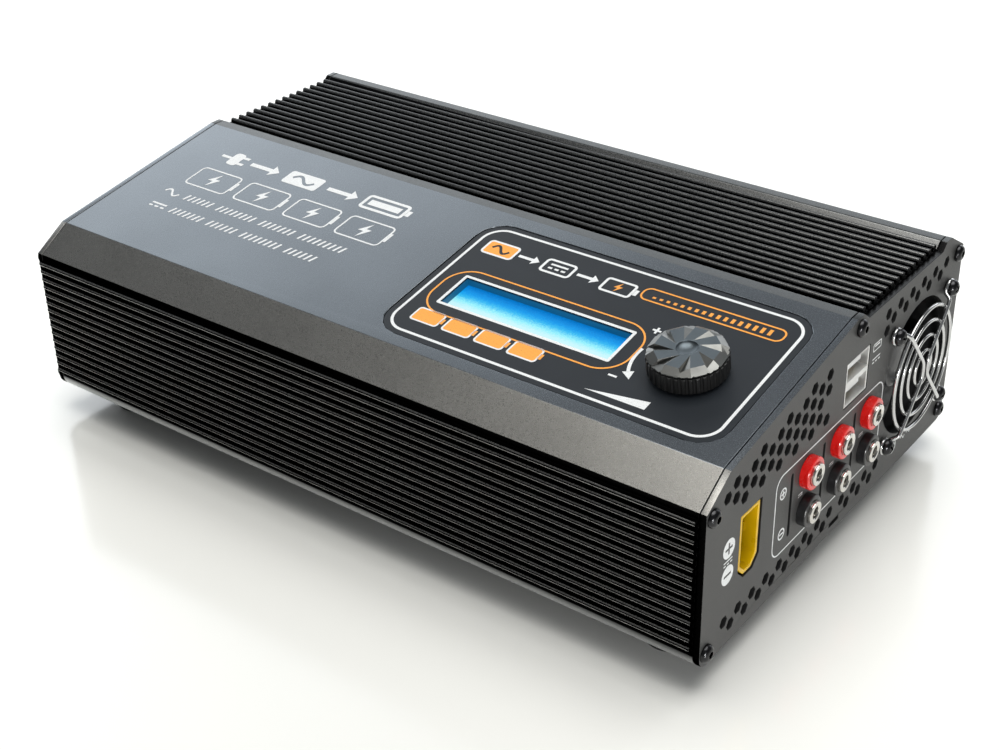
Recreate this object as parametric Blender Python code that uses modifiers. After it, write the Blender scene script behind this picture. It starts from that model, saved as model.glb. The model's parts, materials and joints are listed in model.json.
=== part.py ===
"""Bench power supply for charging model batteries.

A finned aluminium case with a sloping control face, an output end panel with a high-current socket, six
banana sockets, a double USB socket and a guarded fan, and an input end panel with the mains inlet and the
power switch.

Lengths are in millimetres in the source and are turned into metres when a mesh or a matrix is made.
The frame has +X towards the output panel, +Y towards the back and +Z up, and its origin is under the middle
of the whole object, on the surface that the feet stand on.
"""

import math

import bmesh
import bpy
from mathutils import Matrix, Vector

MM = 0.001

# Driving dimensions of the case
CASE_LENGTH = 265.0
CASE_DEPTH = 161.8
FOOT_HEIGHT = 9.0
FOOT_RADIUS = 8.0
FOOT_INSET = (20.0, 18.0)
WALL = 2.0
PANEL_THICKNESS = 2.0
GAP = 0.3
LOWER_CORNER_RADIUS = 4.0

# Profile of the case, as depth from the front wall and height above its underside
SHOULDER = (0.0, 52.3)
FACE_FRONT = (11.9, 59.9)
FACE_BACK = (83.8, 72.6)
STRIP_BACK = (87.9, 72.7)
RIB_BED_FRONT = (91.5, 69.9)
RIB_BED_BACK = (144.4, 69.9)
REAR_STEP = (147.1, 72.3)
REAR_STRIP = (150.9, 72.4)
REAR_SHOULDER = (161.8, 65.9)
FACE_SLOPE = math.atan2(FACE_BACK[1] - FACE_FRONT[1], FACE_BACK[0] - FACE_FRONT[0])

# Fins on the front and back walls, and ribs along the top
FIN_COUNT = 15
FIN_PITCH = 2.98
FIN_TOP = 49.7
FIN_DEPTH = 1.8
FIN_WIDTH = 1.2
RIB_COUNT = 14
RIB_PITCH = 3.89
RIB_FIRST = 92.5
RIB_HEIGHT = 2.5
RIB_WIDTH = 1.9

# Cover and tray meet just under the lowest fin
SEAM_HEIGHT = 7.0
BOSS_SIZE = 6.7
SCREW_HOLE_RADIUS = 1.75
PANEL_SCREWS = ((3.2, 50.1), (3.0, 5.0), (86.0, 69.0), (157.3, 64.4), (157.0, 5.5))

# Control face, measured from the output panel's outer face and up the slope
LABEL_SIZE = (119.9, 62.2)
LABEL_CENTRE = (-68.3, 36.0)
LABEL_RADIUS = 9.0
LABEL_RECESS = 0.9
LABEL_THICKNESS = 0.5
DISPLAY_SIZE = (61.6, 13.7)
DISPLAY_CENTRE = (-85.9, 31.0)
DISPLAY_DEPTH = 3.0
KNOB_CENTRE = (-31.6, 30.6)
KNOB_RADIUS = 12.0
KNOB_TOP = 8.2

# Output panel, as depth from the front wall and height above the case's underside
DC_SOCKET = (25.0, 29.8)
DC_SOCKET_SIZE = (10.8, 21.2)
DC_PIN_PITCH = 10.0
BANANA_COLUMNS = (58.0, 77.6, 97.3)
BANANA_ROWS = {"red": 34.6, "black": 21.3}
BANANA_COLLAR_RADIUS = 5.15
BANANA_SLEEVE_RADIUS = 3.25
BANANA_BORE_RADIUS = 2.0
USB_CENTRE = (86.95, 51.95)
USB_SIZE = (14.7, 15.1)
SLOT_COLUMNS = (48.8, 68.5, 88.5)
SLOT_HEIGHTS = (16.7, 38.6)
SLOT_WIDTH = 1.4
FAN_CENTRE = (131.4, 34.8)
FAN_SIZE = 50.0
FAN_DEPTH = 15.0
FAN_HOLE_RADIUS = 23.2
FAN_SCREW_OFFSET = 20.0
HEX_RADIUS = 2.05

GUARD_WIRE_RADIUS = 0.7
GUARD_RING_HEIGHT = 2.7
GUARD_ARM_HEIGHT = 3.7

# Input panel
INLET_CENTRE = (32.0, 28.0)
INLET_SIZE = (27.2, 19.8)
INLET_SOCKET_SIZE = (24.2, 16.6)
SWITCH_CENTRE = (71.0, 28.0)
SWITCH_SIZE = (21.0, 14.6)
SWITCH_FRAME_HEIGHT = 2.4
ROCKER_HALF_LENGTH = 6.9
ROCKER_RISE = 4.0
ROCKER_PIVOT_DEPTH = 1.0
ROCKER_TILT = 7.0

# The fan guard and the rocker's raised end are what stand furthest out of the two ends
ROCKER_ANGLE = math.radians(ROCKER_TILT)
INPUT_PROUD = (
    ROCKER_RISE * math.cos(ROCKER_ANGLE) + ROCKER_HALF_LENGTH * math.sin(ROCKER_ANGLE) - ROCKER_PIVOT_DEPTH)
OUTPUT_PROUD = GUARD_ARM_HEIGHT + GUARD_WIRE_RADIUS
FRAME_SHIFT = (INPUT_PROUD - OUTPUT_PROUD) / 2
OUTPUT_FACE = CASE_LENGTH / 2 + FRAME_SHIFT
INPUT_FACE = -CASE_LENGTH / 2 + FRAME_SHIFT


def clear_scene():
    for old in list(bpy.data.objects):
        bpy.data.objects.remove(old)


def new_collection(name):
    made = bpy.data.collections.new(name)
    bpy.context.scene.collection.children.link(made)
    return made


def principled(name, colour, roughness, metallic=0.0, alpha=1.0):
    made = bpy.data.materials.new(name)
    made.use_nodes = True
    shader = made.node_tree.nodes["Principled BSDF"]
    shader.inputs["Base Color"].default_value = (*colour, 1.0)
    shader.inputs["Roughness"].default_value = roughness
    shader.inputs["Metallic"].default_value = metallic
    shader.inputs["Alpha"].default_value = alpha
    return made


def move(x=0.0, y=0.0, z=0.0):
    return Matrix.Translation(Vector((x, y, z)) * MM)


def turn(degrees, axis):
    return Matrix.Rotation(math.radians(degrees), 4, axis)


def end_frame(face, u=0.0, v=0.0, w=0.0):
    """Local x is depth from the front wall, y is height above the case's underside and z is world +X."""
    across = Matrix(((0, 0, 1, 0), (1, 0, 0, 0), (0, 1, 0, 0), (0, 0, 0, 1)))
    return move(face + w, u - CASE_DEPTH / 2, v + FOOT_HEIGHT) @ across


def output_frame(u=0.0, v=0.0, w=0.0):
    return end_frame(OUTPUT_FACE, u, v, w)


def input_frame(u=0.0, v=0.0, w=0.0):
    """Like output_frame on the other end: local z points out of the case, and u still grows to the back."""
    return end_frame(INPUT_FACE, u, v, -w) @ Matrix.Diagonal((1, 1, -1, 1))


def face_frame(a=0.0, s=0.0, h=0.0):
    """Local x is world X from the output panel, y runs up the control face and z stands out of it."""
    corner = move(OUTPUT_FACE, FACE_FRONT[0] - CASE_DEPTH / 2, FACE_FRONT[1] + FOOT_HEIGHT)
    return corner @ Matrix.Rotation(FACE_SLOPE, 4, "X") @ move(a, s, h)


def link(name, data, matrix, material, collection=None):
    made = bpy.data.objects.new(name, data)
    (collection or parts).objects.link(made)
    if material:
        made.data.materials.append(material)
    made.matrix_world = matrix
    if collection is cutters:
        made.hide_render = True
        made.display_type = "WIRE"
    return made


def finish_mesh(shape, name):
    """A mirrored frame turns its faces round, so the mesh is made to face outwards after the move."""
    bmesh.ops.recalc_face_normals(shape, faces=shape.faces)
    mesh = bpy.data.meshes.new(name)
    shape.to_mesh(mesh)
    shape.free()
    mesh.shade_smooth()
    mesh.set_sharp_from_angle(angle=math.radians(35))
    return mesh


def box(name, size, matrix, material=None, collection=None, bevel=0.0):
    shape = bmesh.new()
    bmesh.ops.create_cube(shape, size=1.0, matrix=Matrix.Diagonal((*(Vector(size) * MM), 1)))
    if bevel:
        bmesh.ops.bevel(shape, geom=shape.edges[:], offset=bevel * MM, segments=1, affect="EDGES")
    return link(name, finish_mesh(shape, name), matrix, material, collection)


def cylinder(name, radius, low, high, matrix, material=None, collection=None, sides=24, top=None):
    """A round bar along local z from low to high, or a cone when the top radius differs."""
    shape = bmesh.new()
    place = move(0, 0, (low + high) / 2)
    far = radius if top is None else top
    bmesh.ops.create_cone(
        shape, cap_ends=True, segments=sides, radius1=radius * MM, radius2=far * MM,
        depth=(high - low) * MM, matrix=place)
    return link(name, finish_mesh(shape, name), matrix, material, collection)


def turned(name, profile, matrix, material, steps=16, collection=None):
    """Screws a closed or axis-to-axis profile of (radius, height) points, listed down its outer side."""
    mesh = bpy.data.meshes.new(name)
    closed = profile[0][0] > 0
    points = [(r * MM, 0, z * MM) for r, z in profile]
    edges = [(i, i + 1) for i in range(len(points) - 1)]
    if closed:
        edges.append((len(points) - 1, 0))
    mesh.from_pydata(points, edges, [])
    made = link(name, mesh, matrix, material, collection)
    screw = made.modifiers.new("Screw", "SCREW")
    screw.axis = "Z"
    screw.steps = steps
    screw.render_steps = steps
    screw.use_merge_vertices = True
    screw.merge_threshold = 0.00001
    screw.use_smooth_shade = True
    return made


def weld_mesh(source, name):
    """The evaluated mesh of an object, with the loose caps of a curve welded on."""
    bpy.context.view_layer.update()
    graph = bpy.context.evaluated_depsgraph_get()
    mesh = bpy.data.meshes.new_from_object(source.evaluated_get(graph))
    shape = bmesh.new()
    shape.from_mesh(mesh)
    bmesh.ops.remove_doubles(shape, verts=shape.verts, dist=0.000002)
    bpy.data.meshes.remove(mesh)
    return finish_mesh(shape, name)


def as_mesh(source):
    """Replaces a curve by its mesh, under the same name, place and collection."""
    name = source.name
    home = source.users_collection[0]
    matrix = source.matrix_world.copy()
    mesh = weld_mesh(source, name)
    bpy.data.objects.remove(source)
    return link(name, mesh, matrix, None, home)


def plate(name, loops, low, high, matrix, material=None, collection=None):
    """A flat outline with holes, extruded along local z from low to high."""
    curve = bpy.data.curves.new(name, "CURVE")
    curve.dimensions = "2D"
    curve.fill_mode = "BOTH"
    curve.extrude = (high - low) / 2 * MM
    for loop in loops:
        spline = curve.splines.new("POLY")
        spline.points.add(len(loop) - 1)
        spline.use_cyclic_u = True
        for point, (u, v) in zip(spline.points, loop):
            point.co = (u * MM, v * MM, 0.0, 1.0)
    made = link(name, curve, matrix @ move(0, 0, (low + high) / 2), material, collection)
    return as_mesh(made)


def wire(name, path, radius, matrix, collection=None, cyclic=False):
    """A round wire through the points of path, open with filled ends or closed into a ring."""
    curve = bpy.data.curves.new(name, "CURVE")
    curve.dimensions = "3D"
    curve.bevel_depth = radius * MM
    curve.bevel_resolution = 1
    curve.use_fill_caps = not cyclic
    spline = curve.splines.new("POLY")
    spline.points.add(len(path) - 1)
    spline.use_cyclic_u = cyclic
    for point, place in zip(spline.points, path):
        point.co = (*(Vector(place) * MM), 1.0)
    return as_mesh(link(name, curve, matrix, None, collection))


def boolean(target, tools, operation):
    for tool in tools:
        step = target.modifiers.new(tool.name, "BOOLEAN")
        step.operation = operation
        step.solver = "EXACT"
        step.object = tool
    return target


def cut(target, *tools):
    return boolean(target, tools, "DIFFERENCE")


def add(target, *tools):
    return boolean(target, tools, "UNION")


def circle(centre, radius, sides=16, start=0.0, sweep=360.0):
    count = sides if sweep == 360.0 else sides + 1
    angles = [math.radians(start + sweep * i / sides) for i in range(count)]
    return [(centre[0] + radius * math.cos(a), centre[1] + radius * math.sin(a)) for a in angles]


def hexagon(centre):
    return circle(centre, HEX_RADIUS, 6)


def rectangle(centre, size):
    (u, v), (width, height) = centre, size
    return [(u + a * width / 2, v + b * height / 2) for a, b in ((-1, -1), (1, -1), (1, 1), (-1, 1))]


def rounded(centre, size, radius, sides=4):
    (u, v), (width, height) = centre, size
    loop = []
    for a, b, start in ((-1, -1, 180), (1, -1, 270), (1, 1, 0), (-1, 1, 90)):
        corner = (u + a * (width / 2 - radius), v + b * (height / 2 - radius))
        loop += circle(corner, radius, sides, start, 90.0)
    return loop


def rounded_rib(along, width, height):
    """Half-round tipped rib as (offset across, height) points."""
    half = width / 2
    shoulder = height - half
    tip = circle((0.0, shoulder), half, 4, 180.0, -180.0)
    return [(along - half, 0.0)] + [(along + a, b) for a, b in tip] + [(along + half, 0.0)]


def chamfered_socket(centre, size, chamfer):
    """Rectangle whose two lower corners are cut off."""
    (u, v), (width, height) = centre, size
    half, low, high = width / 2, v - height / 2, v + height / 2
    return [
        (u - half + chamfer, low), (u + half - chamfer, low), (u + half, low + chamfer),
        (u + half, high), (u - half, high), (u - half, low + chamfer)]


# Case

def wall_fins(side):
    """Points up the front wall, or the same for the back wall, with its fins in order from the lowest."""
    points = []
    for index in range(FIN_COUNT):
        height = FIN_TOP - FIN_PITCH * (FIN_COUNT - 1 - index)
        low, high = height - FIN_WIDTH / 2, height + FIN_WIDTH / 2
        points += [(0.0, low), (-FIN_DEPTH, low), (-FIN_DEPTH, high), (0.0, high)]
    if side == "front":
        return points
    return [(CASE_DEPTH - u, v) for u, v in reversed(points)]


def top_ribs():
    points = []
    for index in range(RIB_COUNT):
        centre = RIB_FIRST + RIB_PITCH * index
        points += [(u, RIB_BED_FRONT[1] + up) for u, up in rounded_rib(centre, RIB_WIDTH, RIB_HEIGHT)]
    return points


def cover_outline():
    low = SEAM_HEIGHT + GAP
    inside_face = (FACE_FRONT[0] + 0.4, FACE_FRONT[1] - WALL)
    under_ribs = RIB_BED_FRONT[1] - WALL
    strip_boss = (PANEL_SCREWS[2][0] - BOSS_SIZE / 2, PANEL_SCREWS[2][0] + BOSS_SIZE / 2)
    strip_boss_low = PANEL_SCREWS[2][1] - BOSS_SIZE / 2
    face_at_boss = inside_face[1] + (strip_boss[0] - inside_face[0]) * math.tan(FACE_SLOPE)
    front_boss_low = PANEL_SCREWS[0][1] - BOSS_SIZE / 2
    rear_boss_low = PANEL_SCREWS[3][1] - BOSS_SIZE / 2
    rear_boss_front = PANEL_SCREWS[3][0] - BOSS_SIZE / 2
    back_inside = CASE_DEPTH - WALL
    outer = [(0.0, low)] + wall_fins("front") + [SHOULDER, FACE_FRONT, FACE_BACK, STRIP_BACK]
    outer += top_ribs() + [RIB_BED_BACK, REAR_STEP, REAR_STRIP, REAR_SHOULDER]
    outer += wall_fins("back") + [(CASE_DEPTH, low)]
    inner = [
        (back_inside, low), (back_inside, rear_boss_low), (rear_boss_front, rear_boss_low),
        (rear_boss_front, 68.3), (150.2, 70.4), (148.0, 70.4), (145.0, under_ribs),
        (strip_boss[1], under_ribs), (strip_boss[1], strip_boss_low), (strip_boss[0], strip_boss_low),
        (strip_boss[0], face_at_boss), inside_face, (BOSS_SIZE, 54.1), (BOSS_SIZE, front_boss_low),
        (WALL, front_boss_low), (WALL, low)]
    return outer + inner


def tray_outline():
    lip = WALL + GAP
    lip_top = SEAM_HEIGHT + 2.6
    rail_top = 8.0
    radius = LOWER_CORNER_RADIUS
    front = [(0.0, SEAM_HEIGHT)] + circle((radius, radius), radius, 4, 180.0, 90.0)
    back = circle((CASE_DEPTH - radius, radius), radius, 4, 270.0, 90.0) + [(CASE_DEPTH, SEAM_HEIGHT)]
    back_lip = [
        (CASE_DEPTH - lip, SEAM_HEIGHT), (CASE_DEPTH - lip, lip_top), (CASE_DEPTH - 7.0, lip_top),
        (CASE_DEPTH - 7.0, WALL)]
    rails = []
    for centre in (140.0, 24.0):
        rails += [(centre + 1.5, WALL), (centre + 1.5, rail_top)]
        rails += [(centre - 1.5, rail_top), (centre - 1.5, WALL)]
    front_lip = [(7.0, WALL), (7.0, lip_top), (lip, lip_top), (lip, SEAM_HEIGHT)]
    return front + back + back_lip + rails + front_lip


def panel_outline():
    radius = LOWER_CORNER_RADIUS
    lower = circle((radius, radius), radius, 4, 180.0, 90.0)
    lower += circle((CASE_DEPTH - radius, radius), radius, 4, 270.0, 90.0)
    upper = [SHOULDER, FACE_FRONT, FACE_BACK, STRIP_BACK]
    upper += [RIB_BED_FRONT, RIB_BED_BACK, REAR_STEP, REAR_STRIP, REAR_SHOULDER]
    return lower + upper[::-1]


def make_case():
    low = INPUT_FACE + PANEL_THICKNESS + GAP
    high = OUTPUT_FACE - PANEL_THICKNESS - GAP
    across = end_frame(0.0)
    holes = [circle(place, SCREW_HOLE_RADIUS, 8) for place in PANEL_SCREWS]
    cover_loops = [cover_outline(), holes[0], holes[2], holes[3]]
    cover = plate("top_cover", cover_loops, low, high, across, grey_case)
    recess_size = (LABEL_SIZE[0] + 2 * GAP, LABEL_SIZE[1] + 2 * GAP)
    recess = plate(
        "label_recess_cutter", [rounded(LABEL_CENTRE, recess_size, LABEL_RADIUS + GAP)], -LABEL_RECESS, 2.0,
        face_frame(), None, cutters)
    window_size = (DISPLAY_SIZE[0] + 2 * 1.5, DISPLAY_SIZE[1] + 2 * 1.5)
    window = box("window_cutter", (*window_size, 12.0), face_frame(*DISPLAY_CENTRE), None, cutters)
    shaft = cylinder("shaft_cutter", 3.6, -8.0, 8.0, face_frame(*KNOB_CENTRE), None, cutters, 16)
    cut(cover, recess, window, shaft)
    plate("bottom_tray", [tray_outline(), holes[1], holes[4]], low, high, across, black_anodised)


def output_vents():
    """Hexagonal vents of the output panel: a stepped field, and double rows along its top and bottom."""
    vents = []
    for row in range(1, 10):
        column, step = (3 * row - 3) // 2, row // 2 + 2
        lowest = 0 if row <= 6 else 3
        while step >= lowest and column <= 12:
            vents.append((11.0 + 4.76 * column, 46.7 + 2.53 * step))
            column, step = column + 1, step - 1
    vents += [(12.6 + 7.98 * k, 9.1) for k in range(13)]
    vents += [(16.5 + 7.98 * k, 6.1) for k in range(12) if k != 8]
    vents += [(106.0 + 8.53 * k, 64.7) for k in range(6)]
    vents += [(110.2 + 8.53 * k, 61.7) for k in range(5)]
    vents.append((105.9, 58.9))
    return vents


def input_vents():
    """Hexagonal vents of the input panel: an intake field, and a double row along its bottom."""
    vents = []
    for column in range(9):
        for row in range(5 - column % 2):
            vents.append((102.0 + 5.6 * column, 22.0 + 6.6 * row + 3.3 * (column % 2)))
    vents += [(12.6 + 7.98 * k, 9.1) for k in range(18)]
    return vents


def make_output_panel():
    holes = [circle(place, SCREW_HOLE_RADIUS, 10) for place in PANEL_SCREWS]
    holes += [hexagon(place) for place in output_vents()]
    holes.append(rectangle((80.4, 3.4), (6.3, 1.7)))
    slot_middle = sum(SLOT_HEIGHTS) / 2
    slot_size = (SLOT_WIDTH, SLOT_HEIGHTS[1] - SLOT_HEIGHTS[0])
    holes += [rounded((u, slot_middle), slot_size, SLOT_WIDTH / 2, 2) for u in SLOT_COLUMNS]
    banana_places = [(u, v) for u in BANANA_COLUMNS for v in BANANA_ROWS.values()]
    holes += [circle(place, BANANA_COLLAR_RADIUS - 0.7, 16) for place in banana_places]
    holes.append(rectangle(USB_CENTRE, (USB_SIZE[0] + 2 * GAP, USB_SIZE[1] + 2 * GAP)))
    socket_size = (DC_SOCKET_SIZE[0] + 4 * GAP, DC_SOCKET_SIZE[1] + 4 * GAP)
    holes.append(chamfered_socket(DC_SOCKET, socket_size, 3.4))
    holes.append(circle(FAN_CENTRE, FAN_HOLE_RADIUS, 40))
    holes += [circle(place, 1.9, 10) for place in fan_corners()]
    plate("output_end_panel", [panel_outline()] + holes, -PANEL_THICKNESS, 0.0, output_frame(), grey_panel)


def make_input_panel():
    holes = [circle(place, SCREW_HOLE_RADIUS, 10) for place in PANEL_SCREWS]
    holes += [hexagon(place) for place in input_vents()]
    holes.append(rounded(INLET_CENTRE, (INLET_SIZE[0] + 0.8, INLET_SIZE[1] + 0.8), 3.0, 3))
    holes.append(rectangle(SWITCH_CENTRE, (SWITCH_SIZE[0] - 2.0, SWITCH_SIZE[1] - 2.0)))
    plate("input_end_panel", [panel_outline()] + holes, -PANEL_THICKNESS, 0.0, input_frame(), grey_panel)


# Fasteners and feet

def make_panel_screws():
    """Button-head screws with a hexagonal socket, from each end panel into the case's screw channels."""
    head_radius, head_height, shank_radius, reach = 2.8, 2.0, 1.4, 9.0
    profile = [
        (0.0, head_height), (1.9, head_height), (2.5, 1.5), (head_radius, 0.7), (head_radius, GAP),
        (shank_radius, GAP), (shank_radius, -reach), (0.0, -reach)]
    for end, frame in (("output", output_frame), ("input", input_frame)):
        for number, place in enumerate(PANEL_SCREWS, 1):
            name = f"{end}_panel_screw_{number}"
            screw = turned(name, profile, frame(*place), black_screw, 12)
            socket = cylinder(f"{name}_socket", 1.15, 0.9, 3.0, frame(*place), None, cutters, 6)
            cut(screw, socket)


def make_feet():
    """Round rubber feet, dished where their screw would sit."""
    top = FOOT_HEIGHT - GAP
    edge = FOOT_RADIUS - 0.7
    profile = [(0.0, top), (edge, top), (FOOT_RADIUS, 1.2), (edge, 0.0), (3.4, 0.0), (2.8, 2.4), (0.0, 2.4)]
    for side, x in (("left", INPUT_FACE + FOOT_INSET[0]), ("right", OUTPUT_FACE - FOOT_INSET[0])):
        for row, u in (("front", FOOT_INSET[1]), ("back", CASE_DEPTH - FOOT_INSET[1])):
            turned(f"foot_{row}_{side}", profile, move(x, u - CASE_DEPTH / 2, 0.0), rubber, 16)


# Fan

def fan_corners():
    offset = FAN_SCREW_OFFSET
    return [(FAN_CENTRE[0] + a * offset, FAN_CENTRE[1] + b * offset) for a in (-1, 1) for b in (-1, 1)]


def guard_arm(side):
    """One bent wire: a hook round the upper screw, in to the middle, and out to the lower screw."""
    hook_height, hook_radius, arm_height = 1.05, 2.35, GUARD_ARM_HEIGHT
    hook = circle((-FAN_SCREW_OFFSET, FAN_SCREW_OFFSET), hook_radius, 8, 315.0, -270.0)
    upper = [(u, v, hook_height) for u, v in hook]
    upper += [(-16.6, 19.9, hook_height), (-14.6, 17.9, arm_height), (-2.6, 4.0, arm_height)]
    upper.append((-1.6, 1.6, arm_height))
    lower = [(u, -v, w) for u, v, w in reversed(upper)]
    return [(side * -u, v, w) for u, v, w in upper + lower]


def make_fan():
    place = output_frame(*FAN_CENTRE)
    back = -PANEL_THICKNESS - GAP
    half = FAN_SIZE / 2
    body = rounded((0.0, 0.0), (FAN_SIZE, FAN_SIZE), 3.0, 3)
    holes = [circle((a * FAN_SCREW_OFFSET, b * FAN_SCREW_OFFSET), 2.1, 8) for a in (-1, 1) for b in (-1, 1)]
    bore = circle((0.0, 0.0), half - 1.4, 32)
    frame = plate("fan_frame", [body, bore] + holes, back - FAN_DEPTH, back, place, black_plastic)
    spoke_place = place @ move(0, 0, back - FAN_DEPTH + 0.8)
    spokes = [
        box(f"fan_spoke_{n}", (2 * half - 1.6, 2.4, 1.6), spoke_place @ turn(n * 60, "Z"), None, cutters)
        for n in range(3)]
    seat_low = back - FAN_DEPTH
    seat = cylinder("fan_motor_seat", 9.0, seat_low, seat_low + 2.0, place, None, cutters, 20)
    add(frame, *spokes, seat)

    hub_low, hub_high = back - FAN_DEPTH + 2.6, back - 3.2
    hub = cylinder("fan_rotor", 9.5, hub_low, hub_high, place, dark_plastic, None, 20)
    blades = []
    for n in range(7):
        middle = (hub_low + hub_high) / 2
        pitch = place @ turn(n * 360 / 7, "Z") @ move(15.3, 0, middle) @ turn(42, "X")
        blades.append(box(f"fan_blade_{n}", (14.0, 10.5, 1.1), pitch, None, cutters))
    add(hub, *blades)

    rings = []
    for n, radius in enumerate((6.0, 11.0, 16.0, 21.0)):
        loop = [(u, v, GUARD_RING_HEIGHT) for u, v in circle((0.0, 0.0), radius, 24)]
        rings.append(wire(f"guard_ring_{n}", loop, GUARD_WIRE_RADIUS, place, cutters, True))
    arms = [
        wire(f"guard_arm_{side}", guard_arm(side), GUARD_WIRE_RADIUS, place, cutters)
        for side in (-1, 1)]
    guard = link("fan_guard", rings.pop().data, place, chrome)
    add(guard, *arms, *rings)


def make_fan_screws():
    """Pan-head screws with a cross slot, over the guard's hooks and into the fan frame."""
    head_low, head_top, head_radius, shank_radius, reach = 1.9, 4.0, 2.8, 1.5, 13.0
    profile = [
        (0.0, head_top), (1.5, 3.9), (2.4, 3.4), (head_radius, 2.6), (head_radius, head_low),
        (shank_radius, head_low), (shank_radius, -reach), (0.0, -reach)]
    for number, corner in enumerate(fan_corners(), 1):
        name = f"fan_screw_{number}"
        screw = turned(name, profile, output_frame(*corner), black_screw, 12)
        for way in (45, 135):
            slot_place = output_frame(*corner, head_top - 0.1) @ turn(way, "Z")
            slot = box(f"{name}_slot_{way}", (3.4, 0.8, 1.6), slot_place, None, cutters)
            cut(screw, slot)


# Control face

def make_control_face():
    window = rectangle(DISPLAY_CENTRE, DISPLAY_SIZE)
    shaft_hole = circle(KNOB_CENTRE, 3.6, 16)
    label_low = -LABEL_RECESS + 0.2
    plate(
        "label_plate", [rounded(LABEL_CENTRE, LABEL_SIZE, LABEL_RADIUS, 5), window, shaft_hole], label_low,
        label_low + LABEL_THICKNESS, face_frame(), label_grey)
    surround_size = (DISPLAY_SIZE[0] + 2.4, DISPLAY_SIZE[1] + 2.4)
    plate(
        "display_surround", [rectangle(DISPLAY_CENTRE, surround_size), window], -DISPLAY_DEPTH - 0.2,
        label_low - GAP, face_frame(), black_plastic)
    glass_low = -DISPLAY_DEPTH - 2.9
    glass_place = face_frame(*DISPLAY_CENTRE, glass_low + 1.2)
    box("display_glass", (66.0, 18.0, 2.4), glass_place, display_blue, None, 0.2)
    board_size = (112.0, 40.0)
    board_centre = (DISPLAY_CENTRE[0] + 22.0, 31.0)
    shaft_pass = circle(KNOB_CENTRE, 3.9, 16)
    board_loops = [rectangle(board_centre, board_size), shaft_pass]
    plate("display_board", board_loops, glass_low - 1.9, glass_low - GAP, face_frame(), board_green)


def knurled_outline(radius, depth, count):
    """A circle with evenly spaced notches, as wide as a third of their pitch."""
    loop = []
    pitch = 360.0 / count
    for n in range(count):
        for part, r in ((-0.25, radius), (0.25, radius), (0.35, radius - depth), (0.65, radius - depth)):
            angle = math.radians(pitch * (n + part))
            loop.append((r * math.cos(angle), r * math.sin(angle)))
    return loop


def make_knob():
    pivot = face_frame(*KNOB_CENTRE)
    grip_top, cap_low = 6.0, 6.3
    shaft_radius = 3.0
    bore = circle((0.0, 0.0), shaft_radius + 0.1, 16)
    plate("knob_grip", [knurled_outline(KNOB_RADIUS, 0.7, 30), bore], 0.6, grip_top, pivot, black_plastic)
    cap = cylinder("knob_cap", 11.2, cap_low, KNOB_TOP, pivot, gunmetal, None, 8, 8.9)
    dimple_profile = [(0.0, 10.0), (3.0, 10.0), (3.0, KNOB_TOP)]
    dimple_profile += [(1.8, KNOB_TOP - 0.7), (0.0, KNOB_TOP - 1.0)]
    dimple = turned("knob_dimple", dimple_profile, pivot, None, 16, cutters)
    cut(cap, dimple)
    cylinder("potentiometer_shaft", shaft_radius, -15.6, grip_top - 0.1, pivot, steel, None, 16)
    body = cylinder("potentiometer_body", 8.5, -16.0, -8.3, pivot, steel, None, 24)
    bush = cylinder("potentiometer_bush", 3.45, -9.0, -2.2, pivot, None, cutters, 16)
    bore_cutter = cylinder("potentiometer_bore", 3.25, -15.8, 0.0, pivot, None, cutters, 16)
    cut(add(body, bush), bore_cutter)


# Output sockets

def make_dc_socket():
    place = output_frame()
    wall = 1.1
    inner_size = (DC_SOCKET_SIZE[0] - 2 * wall, DC_SOCKET_SIZE[1] - 2 * wall)
    depth = 22.0
    shell = plate(
        "dc_output_socket", [chamfered_socket(DC_SOCKET, DC_SOCKET_SIZE, 3.2)], -depth, -0.3, place, yellow)
    inner_loops = [chamfered_socket(DC_SOCKET, inner_size, 2.8)]
    hollow = plate("dc_socket_hollow", inner_loops, -depth + 5.0, 2.0, place, None, cutters)
    pins = [(DC_SOCKET[0], DC_SOCKET[1] + side * DC_PIN_PITCH / 2) for side in (1, -1)]
    bores = [
        cylinder(f"dc_pin_bore_{n}", 2.5, -depth - 2.0, 0.0, output_frame(*pin), None, cutters, 16)
        for n, pin in enumerate(pins)]
    cut(shell, hollow, *bores)
    for name, pin in zip(("dc_output_pin_positive", "dc_output_pin_negative"), pins):
        cylinder(name, 2.2, -depth - 6.0, -6.5, output_frame(*pin), gold, None, 16)


def make_banana_sockets():
    """Six 4 mm sockets: a coloured collar through the panel round a plated sleeve."""
    inner = BANANA_SLEEVE_RADIUS + 0.2
    neck = BANANA_COLLAR_RADIUS - 1.0
    collar = [
        (inner, 3.0), (4.8, 3.0), (BANANA_COLLAR_RADIUS, 2.6), (BANANA_COLLAR_RADIUS, GAP), (neck, GAP),
        (neck, -4.0), (inner, -4.0)]
    sleeve = [
        (0.0, 4.1), (2.9, 4.1), (BANANA_SLEEVE_RADIUS, 3.7), (BANANA_SLEEVE_RADIUS, -16.0), (0.0, -16.0)]
    plastics = {"red": red_plastic, "black": black_plastic}
    for column, u in enumerate(BANANA_COLUMNS, 1):
        for colour, v in BANANA_ROWS.items():
            place = output_frame(u, v)
            turned(f"{colour}_socket_{column}", collar, place, plastics[colour], 16)
            metal = turned(f"{colour}_socket_sleeve_{column}", sleeve, place, nickel, 16)
            bore = cylinder(
                f"{colour}_socket_bore_{column}", BANANA_BORE_RADIUS, -13.0, 6.0, place, None, cutters, 12)
            cut(metal, bore)


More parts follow.
